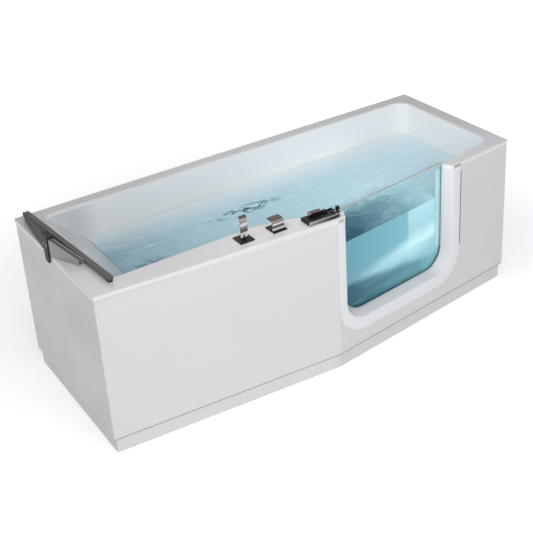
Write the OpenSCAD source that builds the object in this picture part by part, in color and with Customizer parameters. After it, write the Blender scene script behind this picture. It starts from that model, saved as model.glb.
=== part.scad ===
// Walk-in bath with a glass door in the angled half of its front, millimetres.
// X runs along the bath from its head end, Y from the front to the wall, Z up from the floor.

/* [Overall] */
// Length over the rim
bath_l = 1700; // [1600:10:1900]
// Width over the rim at its widest point
bath_w = 700; // [690:5:800]
// Height of the rim above the floor
bath_h = 590; // [560:5:640]
// Distance of the widest point of the front from the head end
kink_x = 842; // [800:2:880]
// Distance that the front stands back at the head end
head_setback = 65; // [30:1:90]
// Distance that the front stands back at the foot end
foot_setback = 105; // [80:1:130]

/* [Rim and basin] */
// Thickness of the moulded shell
shell_t = 6; // [4:0.5:8]
// Radius of the rim's outer edge
rim_edge_r = 8; // [4:0.5:10]
// Depth of the lip that turns down round the rim
lip_h = 16; // [12:1:24]
// Width of the rim at the wall
rim_rear = 48; // [40:1:60]
// Width of the rim at the head end
rim_head = 90; // [80:1:110]
// Width of the rim at the foot end
rim_foot = 55; // [45:1:70]
// Distance of the basin's front edge from the widest point of the front
basin_front = 141; // [135:1:150]
// Height of the basin's floor
floor_z = 125; // [115:1:140]
// Radius between the basin's floor and its walls
floor_r = 60; // [40:1:70]
// Depth of the shoulder in the head-end slope, below the rim
shoulder_drop = 140; // [110:5:170]
// Distance of the shoulder from the head end
shoulder_x = 230; // [200:5:290]
// Distance of the foot of the slope from the head end
heel_x = 430; // [400:5:470]
// Distance that the lower walls lean in, front
front_draft = 20; // [10:1:30]
// Distance that the lower walls lean in, rear
rear_draft = 12; // [6:1:14]
// Distance that the lower wall leans in, foot end
foot_draft = 30; // [10:1:40]
// Corner radius of the basin at the head end
head_corner_r = 22; // [15:1:40]
// Corner radius of the basin at the foot end
foot_corner_r = 55; // [40:1:60]
// Distance of the start of the door bay from the head end
bay_start = 560; // [540:5:600]

/* [Doorway] */
// Left edge of the doorway, measured along the angled front from its start
door_left = 34; // [30:1:45]
// Width of the doorway in the front
door_w = 530; // [500:1:540]
// Height of the doorway's sill above the floor
sill_z = 163; // [155:1:180]
// Corner radius of the doorway
door_r = 90; // [60:1:100]
// Depth of the doorway, from the front to the sealing face
jamb_d = 40; // [36:1:48]
// Distance that the left jamb closes in over that depth
splay_left = 26; // [10:1:28]
// Distance that the right jamb closes in over that depth
splay_right = 17; // [8:1:20]
// Rise of the sill over that depth
sill_rise = 12; // [4:1:16]
// Wall thickness of the doorway's frame
frame_t = 7; // [5:0.5:9]
// Width of the raised band round the doorway
band_w = 39; // [30:1:42]
// Thickness of the raised band
band_t = 3; // [2:0.5:3]
// Width of the groove beside the band
groove_w = 3; // [2:0.5:4]
// Depth of the groove
groove_d = 3; // [2:0.5:4]

/* [Glass door] */
// Thickness of the glass
glass_t = 8; // [6:1:10]
// Distance that the glass laps over the sealing face
glass_lap = 12; // [10:1:14]
// Thickness of the seal
seal_t = 3; // [2:0.5:4]
// Width of the seal
seal_w = 9; // [7:0.5:10]
// Drop of the glass's top edge below the rim
glass_drop = 1; // [1:0.5:6]
// Distance of the hinge axis behind the sealing face
axis_d = 20; // [19:0.5:24]
// Radius of the hinge rail's barrel
barrel_r = 7; // [6.5:0.5:8]
// Radius of the hinge pins
pin_r = 3.5; // [3:0.5:4.5]
// Width of the hinge rail's bonding strip
strip_w = 32; // [24:1:40]
// Thickness of the bonding strip
strip_t = 5; // [4:0.5:6]
// Thickness of the hinge brackets
bracket_t = 6; // [5:0.5:8]

/* [Latch] */
// Height of the latch housing
latch_h = 13; // [11:0.5:18]
// Distance of the latch housing from the front edge of the rim
latch_inset = 12; // [12:1:14]
// Width of the latch housing, across the rim
latch_w = 50; // [49:1:56]
// Length of the latch housing, left of the front's widest point
latch_left = 97; // [90:1:110]
// Length of the latch housing's front, right of the front's widest point
latch_right = 22; // [18:1:24]
// Length of the latch housing's back, right of the front's widest point
latch_back = 32; // [28:1:34]
// Thickness of the chrome strip in front of the housing
latch_strip_t = 3; // [2:0.5:4]
// Travel of the latch bolt
bolt_travel = 15; // [12:1:16]
// Radius of the latch bolt
bolt_r = 3; // [2.5:0.25:3.5]
// Distance of the lever's hub left of the front's widest point
lever_hub_l = 40; // [36:1:48]

/* [Rim fittings] */
// Side of the square base plates
plate_side = 52; // [46:1:60]
// Thickness of the base plates
plate_t = 4; // [3:0.5:5]
// Place of the mixer along the bath
mixer_x = 535; // [515:1:560]
// Place of the mixer across the bath
mixer_y = 84; // [80:1:90]
// Width of the mixer's lever
mixer_lever_w = 26; // [20:1:32]
// Height of the mixer's lever
mixer_lever_h = 74; // [60:1:90]
// Distance of that lever to the right of its plate's middle
mixer_lever_x = 6; // [2:0.5:8]
// Length of the lever's top, bent towards the basin
mixer_lever_l = 16; // [12:1:26]
// Place of the waste control along the bath
control_x = 654; // [635:1:680]
// Place of the waste control across the bath
control_y = 77; // [72:1:84]
// Width of the waste control's lever
control_lever_w = 44; // [36:1:50]
// Height of the waste control's lever
control_lever_h = 34; // [26:1:44]
// Length of that lever's top, bent towards the basin
control_lever_l = 36; // [26:1:44]
// Thickness of both levers
lever_t = 4; // [3:0.5:6]
// Radius of the turning hub in each base plate
hub_r = 17; // [14:0.5:20]
// Running clearance round each turning part
run_gap = 0.3; // [0.2:0.05:0.5]
// Radius of the valve bodies below the rim
body_r = 20; // [16:0.5:22]
// Length of the valve bodies below the rim
body_l = 70; // [50:1:90]
// Radius of the copper inlet tails
tail_r = 5; // [4:0.5:6]
// Height of the open ends of the inlet tails
tail_z = 330; // [260:5:400]

/* [Waste and overflow] */
// Place of the waste along the bath
waste_x = 1120; // [1080:5:1160]
// Place of the waste across the bath
waste_y = 400; // [380:5:420]
// Radius of the waste's neck in the floor
waste_neck_r = 25; // [20:0.5:28]
// Radius of the waste's flange
waste_flange_r = 35; // [32:0.5:40]
// Travel of the plug
plug_travel = 12; // [8:1:15]
// Radius of the waste body
waste_body_r = 34; // [31:0.5:38]
// Radius of the outlet pipe
outlet_r = 25; // [20:0.5:25]
// Height of the pipes' centre above the floor
pipe_z = 46; // [40:1:48]
// Place of the overflow along the bath
overflow_x = 395; // [380:1:400]
// Depth of the overflow below the rim
overflow_drop = 70; // [50:5:90]
// Radius of the overflow pipe
overflow_r = 16; // [12:0.5:18]

/* [Frame and feet] */
// Side of the square frame tube
tube_side = 30; // [25:1:30]
// Wall of the frame tube
tube_t = 2; // [1.5:0.5:3]
// Thickness of the floor board
board_t = 15; // [12:1:18]
// Distance of the front rail in from the board's front edge
rail_front_in = 29; // [10:1:50]
// Distance of the rear rail in from the board's rear edge
rail_rear_in = 10; // [5:1:30]
// Distance of the outer feet in from the ends of the rails
foot_in = 60; // [40:5:100]
// Distance of the cross tubes in from the ends of the rails
cross_in = 150; // [110:5:200]
// Radius of the foot studs
stud_r = 6; // [5:0.5:8]
// Radius of the foot pads
pad_r = 24; // [18:1:28]
// Thickness of the foot pads
pad_t = 10; // [8:1:14]

/* [Panels and plinth] */
// Thickness of the panels
panel_t = 5; // [4:0.5:6]
// Distance of the panels behind the rim's edge
panel_inset = 3; // [3:0.5:6]
// Height of the plinth
plinth_h = 61; // [50:1:70]
// Distance of the plinth behind the rim's edge
plinth_inset = 12; // [8:1:16]
// Thickness of the plinth
plinth_t = 14; // [10:1:18]
// Side of the battens that hold the panels under the rim
batten = 20; // [16:1:24]

/* [Head rest] */
// Length of the head rest's bar
rest_bar_l = 570; // [560:5:590]
// Width of the bar
rest_bar_w = 18; // [14:1:24]
// Height of the bar
rest_bar_h = 12; // [8:1:16]
// Distance of the bar's far edge from the head end
rest_bar_x = 71; // [66:1:76]
// Angle of the bar to the head end
rest_yaw = 4.5; // [0:0.5:5]
// Height of the bar's underside above the rim
rest_lift = 8; // [6:1:12]
// Height of the hook's top above the rim
rest_hook_h = 72; // [66:1:80]
// Distance that the hook reaches down outside the rim
rest_hook_drop = 27; // [18:1:30]
// Distance of the hook outside the rim
rest_gap = 2; // [1:0.5:3]
// Thickness of the hook plate
rest_plate_t = 5; // [4:0.5:6]
// Width of the hook at its top
rest_hook_top = 46; // [40:1:60]
// Width of the hook at its bottom
rest_hook_foot = 26; // [24:1:32]
// Length of the grooved beam beside the bar, from the hook's middle to its front end
rest_beam_l = 130; // [110:5:150]
// Width of the beam
rest_beam_w = 18; // [16:1:24]
// Height of the beam at the hook
rest_beam_h = 52; // [46:1:58]
// Width of the dark arm behind the bar at its rear end
rest_arm_w = 4; // [3:0.5:8]

/* [Hidden] */

$fn = 64;
eps = 0.01;
over = 1;
hull_fn = 32;

// The row's origin is the middle of the footprint, on the floor
hook_out = rest_gap + rest_plate_t;
mid_x = (bath_l - hook_out) / 2;
mid_y = bath_w / 2;

// Slopes and angles of the two halves of the front
front_slope = head_setback / kink_x;
door_slope = foot_setback / (bath_l - kink_x);
front_angle = -atan(front_slope);
door_angle = atan(door_slope);
door_len = norm([bath_l - kink_x, foot_setback]);

// The outline of the bath seen from above, set in by g all round
function front_y(x, g) = head_setback - x * front_slope + g / cos(front_angle);
function door_y(x, g) = (x - kink_x) * door_slope + g / cos(door_angle);
function kink(g) = (head_setback + kink_x * door_slope + g / cos(front_angle) - g / cos(door_angle))
    / (front_slope + door_slope);
function outline(g) = [
    [g, front_y(g, g)],
    [kink(g), door_y(kink(g), g)],
    [bath_l - g, door_y(bath_l - g, g)],
    [bath_l - g, bath_w - g],
    [g, bath_w - g]
];

// A point s along the angled front and d behind it
function door_point(s, d) = [
    kink_x + s * cos(door_angle) - d * sin(door_angle),
    s * sin(door_angle) + d * cos(door_angle)
];

// Heights of the shell and of what lies under it
shoulder_z = bath_h - shoulder_drop;
overflow_z = bath_h - overflow_drop;
shell_under = floor_z - shell_t;
rim_under = bath_h - shell_t;
lip_z = bath_h - lip_h;
board_z = shell_under - board_t;
rail_z = board_z - tube_side;
panel_gap = 0.3;
panel_top = lip_z - panel_gap;

// The doorway and the glass
door_right = door_left + door_w;
in_left = door_left + splay_left;
in_right = door_right - splay_right;
in_sill = sill_z + sill_rise;
in_r = door_r - splay_right / 2;
fit_gap = 0.3;
glass_left = in_left - glass_lap;
glass_right = in_right + glass_lap;
glass_sill = in_sill - glass_lap;
glass_top = bath_h - glass_drop;
glass_d = jamb_d + seal_t + fit_gap;
glass_back = glass_d + glass_t;
hinge_s = glass_right + 2;
hinge_d = jamb_d + axis_d;
barrel_low = glass_sill + 5;
barrel_top = bath_h - 25;
arm_gap = 0.5;
bush_gap = 0.05;
bay_end = hinge_s + 52;

// Puts a piece into the row's frame
module placed() {
    translate([-mid_x, -mid_y, 0]) children();
}

// Frame of the angled front: x along it, y into the bath
module at_door() {
    translate([kink_x, 0, 0]) rotate([0, 0, door_angle]) children();
}

module ring_piece(i, g0, g1, z0, z1) {
    a = outline(g0);
    b = outline(g1);
    j = (i + 1) % len(a);
    translate([0, 0, z0]) linear_extrude(z1 - z0) polygon([a[i], a[j], b[j], b[i]]);
}

// A face that is open at the top, with two round lower corners
module u_face(s0, s1, z0, z1, r) {
    translate([s0, z0 + r]) square([s1 - s0, z1 - z0 - r]);
    translate([s0 + r, z0]) square([s1 - s0 - 2 * r, r + eps]);
    translate([s0 + r, z0 + r]) circle(r);
    translate([s1 - r, z0 + r]) circle(r);
}

// That face as a plate, from depth d to d + t behind the angled front
module u_plate(s0, s1, z0, z1, r, d, t) {
    translate([0, d + t, 0]) rotate([90, 0, 0]) linear_extrude(t) u_face(s0, s1, z0, z1, r);
}

// The doorway's void, grown by g: wide in front, narrow at the sealing face
module doorway(g, z1) {
    hull() {
        u_plate(door_left - g, door_right + g, sill_z - g, z1, door_r + g, -over, over, $fn = hull_fn);
        u_plate(in_left - g, in_right + g, in_sill - g, z1, in_r + g, jamb_d, over, $fn = hull_fn);
    }
}

// Four upright corner discs of a rounded rectangle, for the hulls of the basin
module corners(x0, x1, y0, y1, r0, r1, g, z, h) {
    for (y = [0, 1]) {
        yy = y == 0 ? y0 : y1;
        side = y == 0 ? 1 : -1;
        translate([x0 + r0, yy + side * r0, z]) cylinder(h = h, r = r0 + g, $fn = hull_fn);
        translate([x1 - r1, yy + side * r1, z]) cylinder(h = h, r = r1 + g, $fn = hull_fn);
    }
}

// How far a ball of that many sides reaches down, as a share of its radius
ball_low = cos(180 / hull_fn);
basin_x1 = bath_l - rim_foot;
basin_y1 = bath_w - rim_rear;
edge_drop = 8;
edge_flare = 4;

// The basin above its shoulder, grown by g
module upper_basin(g, z1) {
    hull() {
        corners(shoulder_x, basin_x1, basin_front, basin_y1, head_corner_r, foot_corner_r, g, shoulder_z, eps);
        corners(rim_head, basin_x1, basin_front, basin_y1, head_corner_r, foot_corner_r, g,
            bath_h - edge_drop, eps);
        corners(rim_head, basin_x1, basin_front, basin_y1, head_corner_r, foot_corner_r,
            g == 0 ? edge_flare : g, z1, eps);
    }
}

// The basin below its shoulder, grown by g
module lower_basin(g) {
    low_x = [heel_x + floor_r, basin_x1 - foot_draft - floor_r];
    low_y = [basin_front + front_draft + floor_r, basin_y1 - rear_draft - floor_r];
    hull() {
        corners(shoulder_x, basin_x1, basin_front, basin_y1, head_corner_r, foot_corner_r, g, shoulder_z, eps);
        for (x = low_x, y = low_y)
            translate([x, y, floor_z + floor_r * ball_low]) sphere(floor_r + g, $fn = hull_fn);
    }
}

// Plan of the door bay, grown by g: its front edge swings out to the sealing face
bay_steps = 8;
bay_reach = 160;
bay_depth = basin_front + bay_reach;
bay_head = door_point(door_left - 20, jamb_d);
bay_foot = door_point(bay_end, jamb_d);
function bay_plan(g) = concat(
    [for (i = [0 : bay_steps - 1])
        let (t = i / bay_steps)
        [bay_start - g + t * (bay_head[0] - bay_start), basin_front - g - (basin_front - bay_head[1]) * t * t]],
    [door_point(door_left - 20 - g, jamb_d - g), door_point(bay_end + g, jamb_d - g)],
    [[bay_foot[0] + (basin_front - bay_foot[1]) * 3 + g, basin_front - g / 2],
     [bay_foot[0] + (basin_front - bay_foot[1]) * 3 + g, bay_depth],
     [bay_start - g, bay_depth]]
);

module door_bay(g, z0, z1) {
    translate([0, 0, z0]) linear_extrude(z1 - z0) polygon(bay_plan(g));
}

// The rim: a slab with a rounded top edge and a lip, hollow below
module rim_slab() {
    top = outline(rim_edge_r);
    difference() {
        hull() {
            for (p = top) {
                translate([p[0], p[1], bath_h - rim_edge_r]) sphere(rim_edge_r, $fn = hull_fn);
                translate([p[0], p[1], lip_z]) cylinder(h = eps, r = rim_edge_r, $fn = hull_fn);
            }
        }
        translate([0, 0, lip_z - over])
            linear_extrude(lip_h - shell_t + over) polygon(outline(shell_t));
    }
}

module tub_shell() {
    placed() color("white") difference() {
        union() {
            rim_slab();
            upper_basin(shell_t, rim_under + eps);
            lower_basin(shell_t);
            door_bay(shell_t, shell_under, rim_under + eps);
        }
        upper_basin(0, bath_h + over);
        lower_basin(0);
        door_bay(0, floor_z, bath_h + over);
        at_door() doorway(frame_t + fit_gap, bath_h + over);
        translate([waste_x, waste_y, 0]) cylinder(h = floor_z + over, r = waste_neck_r + 1);
        translate([overflow_x, basin_front + over, overflow_z]) rotate([90, 0, 0])
            cylinder(h = shell_t + 2 * over, r = overflow_neck_r + 1);
        translate([mixer_x, mixer_y, rim_under - over]) cylinder(h = shell_t + 2 * over, r = body_r + 1);
        translate([control_x, control_y, rim_under - over]) cylinder(h = shell_t + 2 * over, r = body_r + 1);
    }
}

// Chipboard panel bonded under the basin's floor
board_x = [heel_x + floor_r, basin_x1 - foot_draft - floor_r];
board_y = [basin_front + front_draft + floor_r, basin_y1 - rear_draft - floor_r];
module floor_board() {
    placed() color("burlywood") difference() {
        translate([board_x[0], board_y[0], board_z])
            cube([board_x[1] - board_x[0], board_y[1] - board_y[0], board_t]);
        translate([waste_x, waste_y, board_z - over]) cylinder(h = board_t + 2 * over, r = waste_body_r + 4);
    }
}

// Two long rails, joined by cross tubes, carry the board
rail_x = [board_x[0] + 10, board_x[1] - 10];
foot_x = [rail_x[0] + foot_in, (rail_x[0] + rail_x[1]) / 2 - foot_in, rail_x[1] - foot_in];
rail_front_y = board_y[0] + rail_front_in;
rail_rear_y = board_y[1] - rail_rear_in - tube_side;
rails_y = [rail_front_y, rail_rear_y];
stud_gap = 0.5;
module rail(y) {
    difference() {
        translate([rail_x[0], y, rail_z]) cube([rail_x[1] - rail_x[0], tube_side, tube_side]);
        translate([rail_x[0] - over, y + tube_t, rail_z + tube_t])
            cube([rail_x[1] - rail_x[0] + 2 * over, tube_side - 2 * tube_t, tube_side - 2 * tube_t]);
        for (x = foot_x)
            translate([x, y + tube_side / 2, rail_z - over]) cylinder(h = tube_t + 2 * over, r = stud_r + stud_gap);
    }
}

module rail_front() {
    placed() color("silver") rail(rail_front_y);
}

module rail_rear() {
    placed() color("silver") rail(rail_rear_y);
}

cross_x = [rail_x[0] + cross_in, rail_x[1] - cross_in - tube_side];
module cross_tubes() {
    span = rail_rear_y - rail_front_y - tube_side;
    placed() color("silver") for (x = cross_x)
        difference() {
            translate([x, rail_front_y + tube_side, rail_z]) cube([tube_side, span, tube_side]);
            translate([x + tube_t, rail_front_y + tube_side - over, rail_z + tube_t])
                cube([tube_side - 2 * tube_t, span + 2 * over, tube_side - 2 * tube_t]);
        }
}

module at_feet() {
    for (x = foot_x, y = rails_y) translate([x, y + tube_side / 2, 0]) children();
}

stud_low = 4;
nut_h = 8;
nut_r = 11;
module foot_studs() {
    placed() color("gainsboro") at_feet()
        translate([0, 0, stud_low]) cylinder(h = rail_z + tube_t + nut_h + 4 - stud_low, r = stud_r);
}

// One lock nut under the rail and one inside it on each stud
module foot_nuts() {
    placed() color("silver") at_feet()
        for (z = [rail_z - nut_h, rail_z + tube_t])
            difference() {
                translate([0, 0, z]) cylinder(h = nut_h, r = nut_r, $fn = 6);
                translate([0, 0, z - over]) cylinder(h = nut_h + 2 * over, r = stud_r);
            }
}

module foot_pads() {
    placed() color("dimgray") at_feet()
        difference() {
            union() {
                cylinder(h = pad_t / 2, r = pad_r);
                cylinder(h = pad_t, r = pad_r * 0.6);
            }
            translate([0, 0, stud_low]) cylinder(h = pad_t, r = stud_r);
        }
}

// Battens glued under the rim, which the panels are screwed to
batten_in = panel_inset + panel_t;
module batten_piece(i) {
    ring_piece(i, batten_in, batten_in + batten, rim_under - batten, rim_under);
}

module batten_front() {
    placed() color("tan") batten_piece(0);
}

// The batten of the angled front is cut by the doorway
module batten_door_side(s0, s1) {
    intersection() {
        batten_piece(1);
        at_door() translate([s0, 0, rim_under - batten - over])
            cube([s1 - s0, 2 * jamb_d, batten + 2 * over]);
    }
}

module batten_door_left() {
    placed() color("tan") batten_door_side(-2 * batten, door_left - frame_t - 2 * fit_gap);
}

module batten_door_right() {
    placed() color("tan") batten_door_side(door_right + frame_t + 2 * fit_gap, door_len + batten);
}

module batten_head() {
    placed() color("tan") batten_piece(4);
}

module batten_foot() {
    placed() color("tan") batten_piece(2);
}

// A panel has a flange at its foot, which stands on the plinth
flange_w = 30;
module panel_piece(i) {
    ring_piece(i, panel_inset, panel_inset + panel_t, plinth_h, panel_top);
    ring_piece(i, panel_inset, panel_inset + flange_w, plinth_h, plinth_h + panel_t);
}

module panel_front() {
    placed() color("whitesmoke") panel_piece(0);
}

module panel_door() {
    band_left = door_left - band_w + 8;
    band_right = door_right + band_w;
    placed() color("whitesmoke") difference() {
        union() {
            panel_piece(1);
            at_door() u_plate(band_left, band_right, sill_z - band_w - 8, panel_top - over, door_r + band_w,
                panel_inset - band_t, band_t + panel_t / 2);
        }
        at_door() u_plate(door_left - frame_t - fit_gap, door_right + frame_t + fit_gap,
            sill_z - frame_t - fit_gap, bath_h, door_r + frame_t + fit_gap, -over, jamb_d);
        at_door() translate([band_right + groove_w, panel_inset - over, sill_z + door_r])
            cube([groove_w, groove_d + over, panel_top - sill_z - door_r - 10]);
    }
}

module panel_head() {
    placed() color("whitesmoke") panel_piece(4);
}

module panel_foot() {
    placed() color("whitesmoke") panel_piece(2);
}

module plinth_piece(i) {
    ring_piece(i, plinth_inset, plinth_inset + plinth_t, 0, plinth_h);
}

module plinth_front() {
    placed() color("gainsboro") plinth_piece(0);
}

module plinth_door() {
    placed() color("gainsboro") plinth_piece(1);
}

module plinth_head() {
    placed() color("gainsboro") plinth_piece(4);
}

module plinth_foot() {
    placed() color("gainsboro") plinth_piece(2);
}

// Steel angles under the rear rim, screwed to the wall
wall_l = 110;
wall_h = 50;
wall_t = 3;
wall_reach = 26;
wall_hole_r = 4;
wall_pitch = 60;
wall_y = bath_w - shell_t - 2;
wall_x = [400, 1300];
module wall_brackets() {
    placed() color("silver") for (x = wall_x) difference() {
        union() {
            translate([x, wall_y - wall_t, rim_under - wall_h]) cube([wall_l, wall_t, wall_h]);
            translate([x, wall_y - wall_reach, rim_under - wall_t]) cube([wall_l, wall_reach, wall_t]);
        }
        for (side = [-1, 1])
            translate([x + wall_l / 2 + side * wall_pitch / 2, wall_y + over, rim_under - wall_h / 2 - 6])
                rotate([90, 0, 0]) cylinder(h = wall_t + 2 * over, r = wall_hole_r);
    }
}

// The moulded frame that lines the doorway
module door_frame() {
    placed() at_door() color("white") difference() {
        intersection() {
            doorway(frame_t, bath_h);
            translate([-band_w, 0, 0]) cube([door_len, jamb_d, bath_h]);
        }
        doorway(0, bath_h + over);
    }
}

module door_seal() {
    placed() at_door() color("lightgray") difference() {
        u_plate(in_left - seal_w, in_right + seal_w, in_sill - seal_w, bath_h - lip_h, in_r + seal_w,
            jamb_d, seal_t);
        u_plate(in_left, in_right, in_sill, bath_h, in_r, jamb_d - over, seal_t + 2 * over);
    }
}

module door_glass() {
    placed() at_door() color("lightcyan", 0.4)
        u_plate(glass_left, glass_right, glass_sill, glass_top, in_r + glass_lap, glass_d, glass_t);
}

// The rail is bonded to the inner face of the glass and carries the barrel
rail_gap = 0.1;
module hinge_rail() {
    placed() at_door() color("silver") difference() {
        union() {
            translate([hinge_s, hinge_d, barrel_low])
                cylinder(h = barrel_top - barrel_low, r = barrel_r);
            translate([glass_right - strip_w, glass_back + rail_gap, barrel_low + in_r])
                cube([strip_w, strip_t, barrel_top - barrel_low - in_r]);
            translate([glass_right - 4, glass_back + rail_gap, barrel_low + in_r])
                cube([hinge_s - glass_right + 4, strip_t, barrel_top - barrel_low - in_r]);
        }
        for (z = [barrel_low - over, barrel_top - pin_in])
            translate([hinge_s, hinge_d, z]) cylinder(h = pin_in + over, r = pin_r + bush_gap);
    }
}

pin_in = 18;
pin_play = 1;
module hinge_pins() {
    reach = pin_in - pin_play + arm_gap + bracket_t;
    placed() at_door() color("silver") {
        translate([hinge_s, hinge_d, barrel_low - arm_gap - bracket_t]) cylinder(h = reach, r = pin_r);
        translate([hinge_s, hinge_d, barrel_top - pin_in + pin_play]) cylinder(h = reach, r = pin_r);
    }
}

// Two brackets on the sealing face hold the pins
bracket_reach = 34;
bracket_h = 36;
bracket_foot = 24;
module hinge_bracket(z, up) {
    arm_y0 = jamb_d;
    difference() {
        union() {
            translate([hinge_s + bracket_reach - bracket_foot, jamb_d, up ? z - bracket_h + bracket_t : z])
                cube([bracket_foot, bracket_t, bracket_h]);
            translate([hinge_s, arm_y0, z]) cube([bracket_reach, axis_d + barrel_r - 2, bracket_t]);
            translate([hinge_s, hinge_d, z]) cylinder(h = bracket_t, r = barrel_r - 2);
        }
        translate([hinge_s, hinge_d, z - over]) cylinder(h = bracket_t + 2 * over, r = pin_r);
    }
}

module hinge_brackets() {
    placed() at_door() color("silver") {
        hinge_bracket(barrel_top + arm_gap, true);
        hinge_bracket(barrel_low - arm_gap - bracket_t, false);
    }
}

screw_r = 3.5;
screw_t = 2;
screw_s = hinge_s + bracket_reach - bracket_foot / 2;
module hinge_screws() {
    low = barrel_low - arm_gap - bracket_t;
    top = barrel_top + arm_gap + bracket_t;
    placed() at_door() color("silver")
        for (z = [low + bracket_h / 2, low + bracket_h - 7, top - bracket_h / 2, top - bracket_h + 7])
            translate([screw_s, jamb_d + bracket_t + screw_t, z]) rotate([90, 0, 0])
                cylinder(h = screw_t, r = screw_r);
}

// The latch stands on the rim beside the doorway
latch_z = bath_h;
latch_top = latch_z + latch_h;
lever_hub_in = 40;
lever_hub_r = 7;
lever_tail = 10;
lever_l = 32;
lever_w = 18;
lever_rise = 10;
lever_hub_x = kink_x - lever_hub_l;
lever_hub_y = front_y(lever_hub_x, latch_inset + lever_hub_in);
ridge_in = norm([lever_tail, lever_w / 2]) + 2 * run_gap;
ridge_l = 18;
ridge_h = 8;
keeper_l = 10;
keeper_w = 11;
keeper_below = 20;
keeper_above = 10;
keeper_gap = 0.1;
bolt_d = glass_back + keeper_gap + keeper_w / 2;
bolt_z = latch_z + bolt_r + 1.5;
bolt_s0 = 2;
bolt_s1 = 38;
slide_w = 16;
slide_d = 31;
slide_t = 3;
slide_z = bolt_z + bolt_r - 1;
knob_r = 6.5;
knob_h = 8;

// Where the housing's right end stands at a distance from the front edge
function latch_end(g) = latch_right + (latch_back - latch_right) * (g - latch_inset) / latch_w;

// Plan of the housing between two distances from the front edge
module latch_plan(g0, g1) {
    x0 = kink_x - latch_left;
    r0 = door_point(latch_end(g0), g0);
    r1 = door_point(latch_end(g1), g1);
    polygon([[x0, front_y(x0, g0)], [kink(g0), door_y(kink(g0), g0)], r0, r1,
        [kink(g1), door_y(kink(g1), g1)], [x0, front_y(x0, g1)]]);
}

module at_lever() {
    translate([lever_hub_x, lever_hub_y, 0]) rotate([0, 0, front_angle]) children();
}

// The housing: a ridge beside the lever and a slot, open to the right, for the bolt
module latch_housing() {
    placed() color("black") difference() {
        union() {
            translate([0, 0, latch_z]) linear_extrude(latch_h)
                latch_plan(latch_inset + latch_strip_t, latch_inset + latch_w);
            at_lever() translate([ridge_in, -lever_w / 2, latch_z + over])
                cube([ridge_l, lever_w - 4, latch_h - over + ridge_h]);
        }
        at_lever() translate([0, 0, latch_z - over]) cylinder(h = latch_h + 2 * over, r = lever_hub_r + run_gap);
        at_door() translate([bolt_s0 - run_gap, bolt_d - bolt_r - run_gap, bolt_z - bolt_r - run_gap])
            cube([latch_w, 2 * (bolt_r + run_gap), latch_h]);
        at_door() translate([bolt_s0 - run_gap, slide_d - run_gap, slide_z - run_gap])
            cube([latch_w, bolt_d - slide_d, latch_h]);
    }
}

module latch_strip() {
    placed() color("silver") translate([0, 0, latch_z]) linear_extrude(latch_h + 1)
        latch_plan(latch_inset, latch_inset + latch_strip_t);
}

// The lever: a plate on a dark block that turns on a boss in the housing
module latch_lever() {
    placed() at_lever() {
        color("black") {
            translate([0, 0, latch_z + run_gap]) cylinder(h = latch_h + 1, r = lever_hub_r);
            translate([1 - lever_l, 1 - lever_w / 2, latch_top + run_gap])
                cube([lever_l + lever_tail - 2, lever_w - 2, lever_rise + 1 - run_gap]);
        }
        color("silver") translate([-lever_l, -lever_w / 2, latch_top + lever_rise])
            cube([lever_l + lever_tail, lever_w, lever_t]);
    }
}

// The bolt slides along the front into the keeper; its slide carries a knob
module latch_bolt() {
    placed() at_door() color("black") {
        translate([bolt_s0, bolt_d, bolt_z]) rotate([0, 90, 0]) cylinder(h = bolt_s1 - bolt_s0, r = bolt_r);
        translate([bolt_s0, slide_d, slide_z]) cube([slide_w, bolt_d - slide_d, slide_t]);
        translate([bolt_s0 + slide_w / 2, slide_d + knob_r + 1, slide_z + 1])
            cylinder(h = knob_h, r = knob_r);
    }
}

// The keeper is bonded to the inner face of the glass and stands up over the rim
module latch_keeper() {
    placed() at_door() color("silver") difference() {
        translate([glass_left, glass_back + keeper_gap, glass_top - keeper_below])
            cube([keeper_l, keeper_w, latch_z + keeper_above - glass_top + keeper_below]);
        translate([glass_left - over, bolt_d, bolt_z]) rotate([0, 90, 0])
            cylinder(h = keeper_l + 2 * over, r = bolt_r + run_gap);
    }
}

// A square base plate with a turning hub let into it
module base_plate() {
    difference() {
        translate([-plate_side / 2, -plate_side / 2, 0]) cube([plate_side, plate_side, plate_t]);
        translate([0, 0, -over]) cylinder(h = plate_t + 2 * over, r = hub_r + run_gap);
    }
}

module at_mixer() {
    translate([mixer_x, mixer_y, bath_h]) children();
}

module at_control() {
    translate([control_x, control_y, bath_h]) children();
}

module mixer_plate() {
    placed() at_mixer() color("black") base_plate();
}

hub_ear_w = 6;
ear_in = 0.4;
tilt_z = plate_t + 8;
tilt_pin_r = 2;
lever_foot = 5;
lever_gap = 0.8;
fork_t = 3;
fork_gap = 0.5;
fork_h = 9;
module mixer_hub() {
    placed() at_mixer() color("dimgray") {
        translate([0, 0, -shell_t]) cylinder(h = shell_t + plate_t, r = hub_r);
        difference() {
            union() {
                translate([-hub_ear_w / 2, ear_in - hub_ear_w / 2, plate_t - over])
                    cube([hub_ear_w, hub_ear_w - 2 * ear_in, tilt_z - plate_t + over]);
                translate([-hub_ear_w / 2, 0, tilt_z]) rotate([0, 90, 0])
                    cylinder(h = hub_ear_w, r = hub_ear_w / 2);
            }
            translate([-hub_ear_w / 2 - over, 0, tilt_z]) rotate([0, 90, 0])
                cylinder(h = hub_ear_w + 2 * over, r = tilt_pin_r + bush_gap);
        }
    }
}

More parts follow.
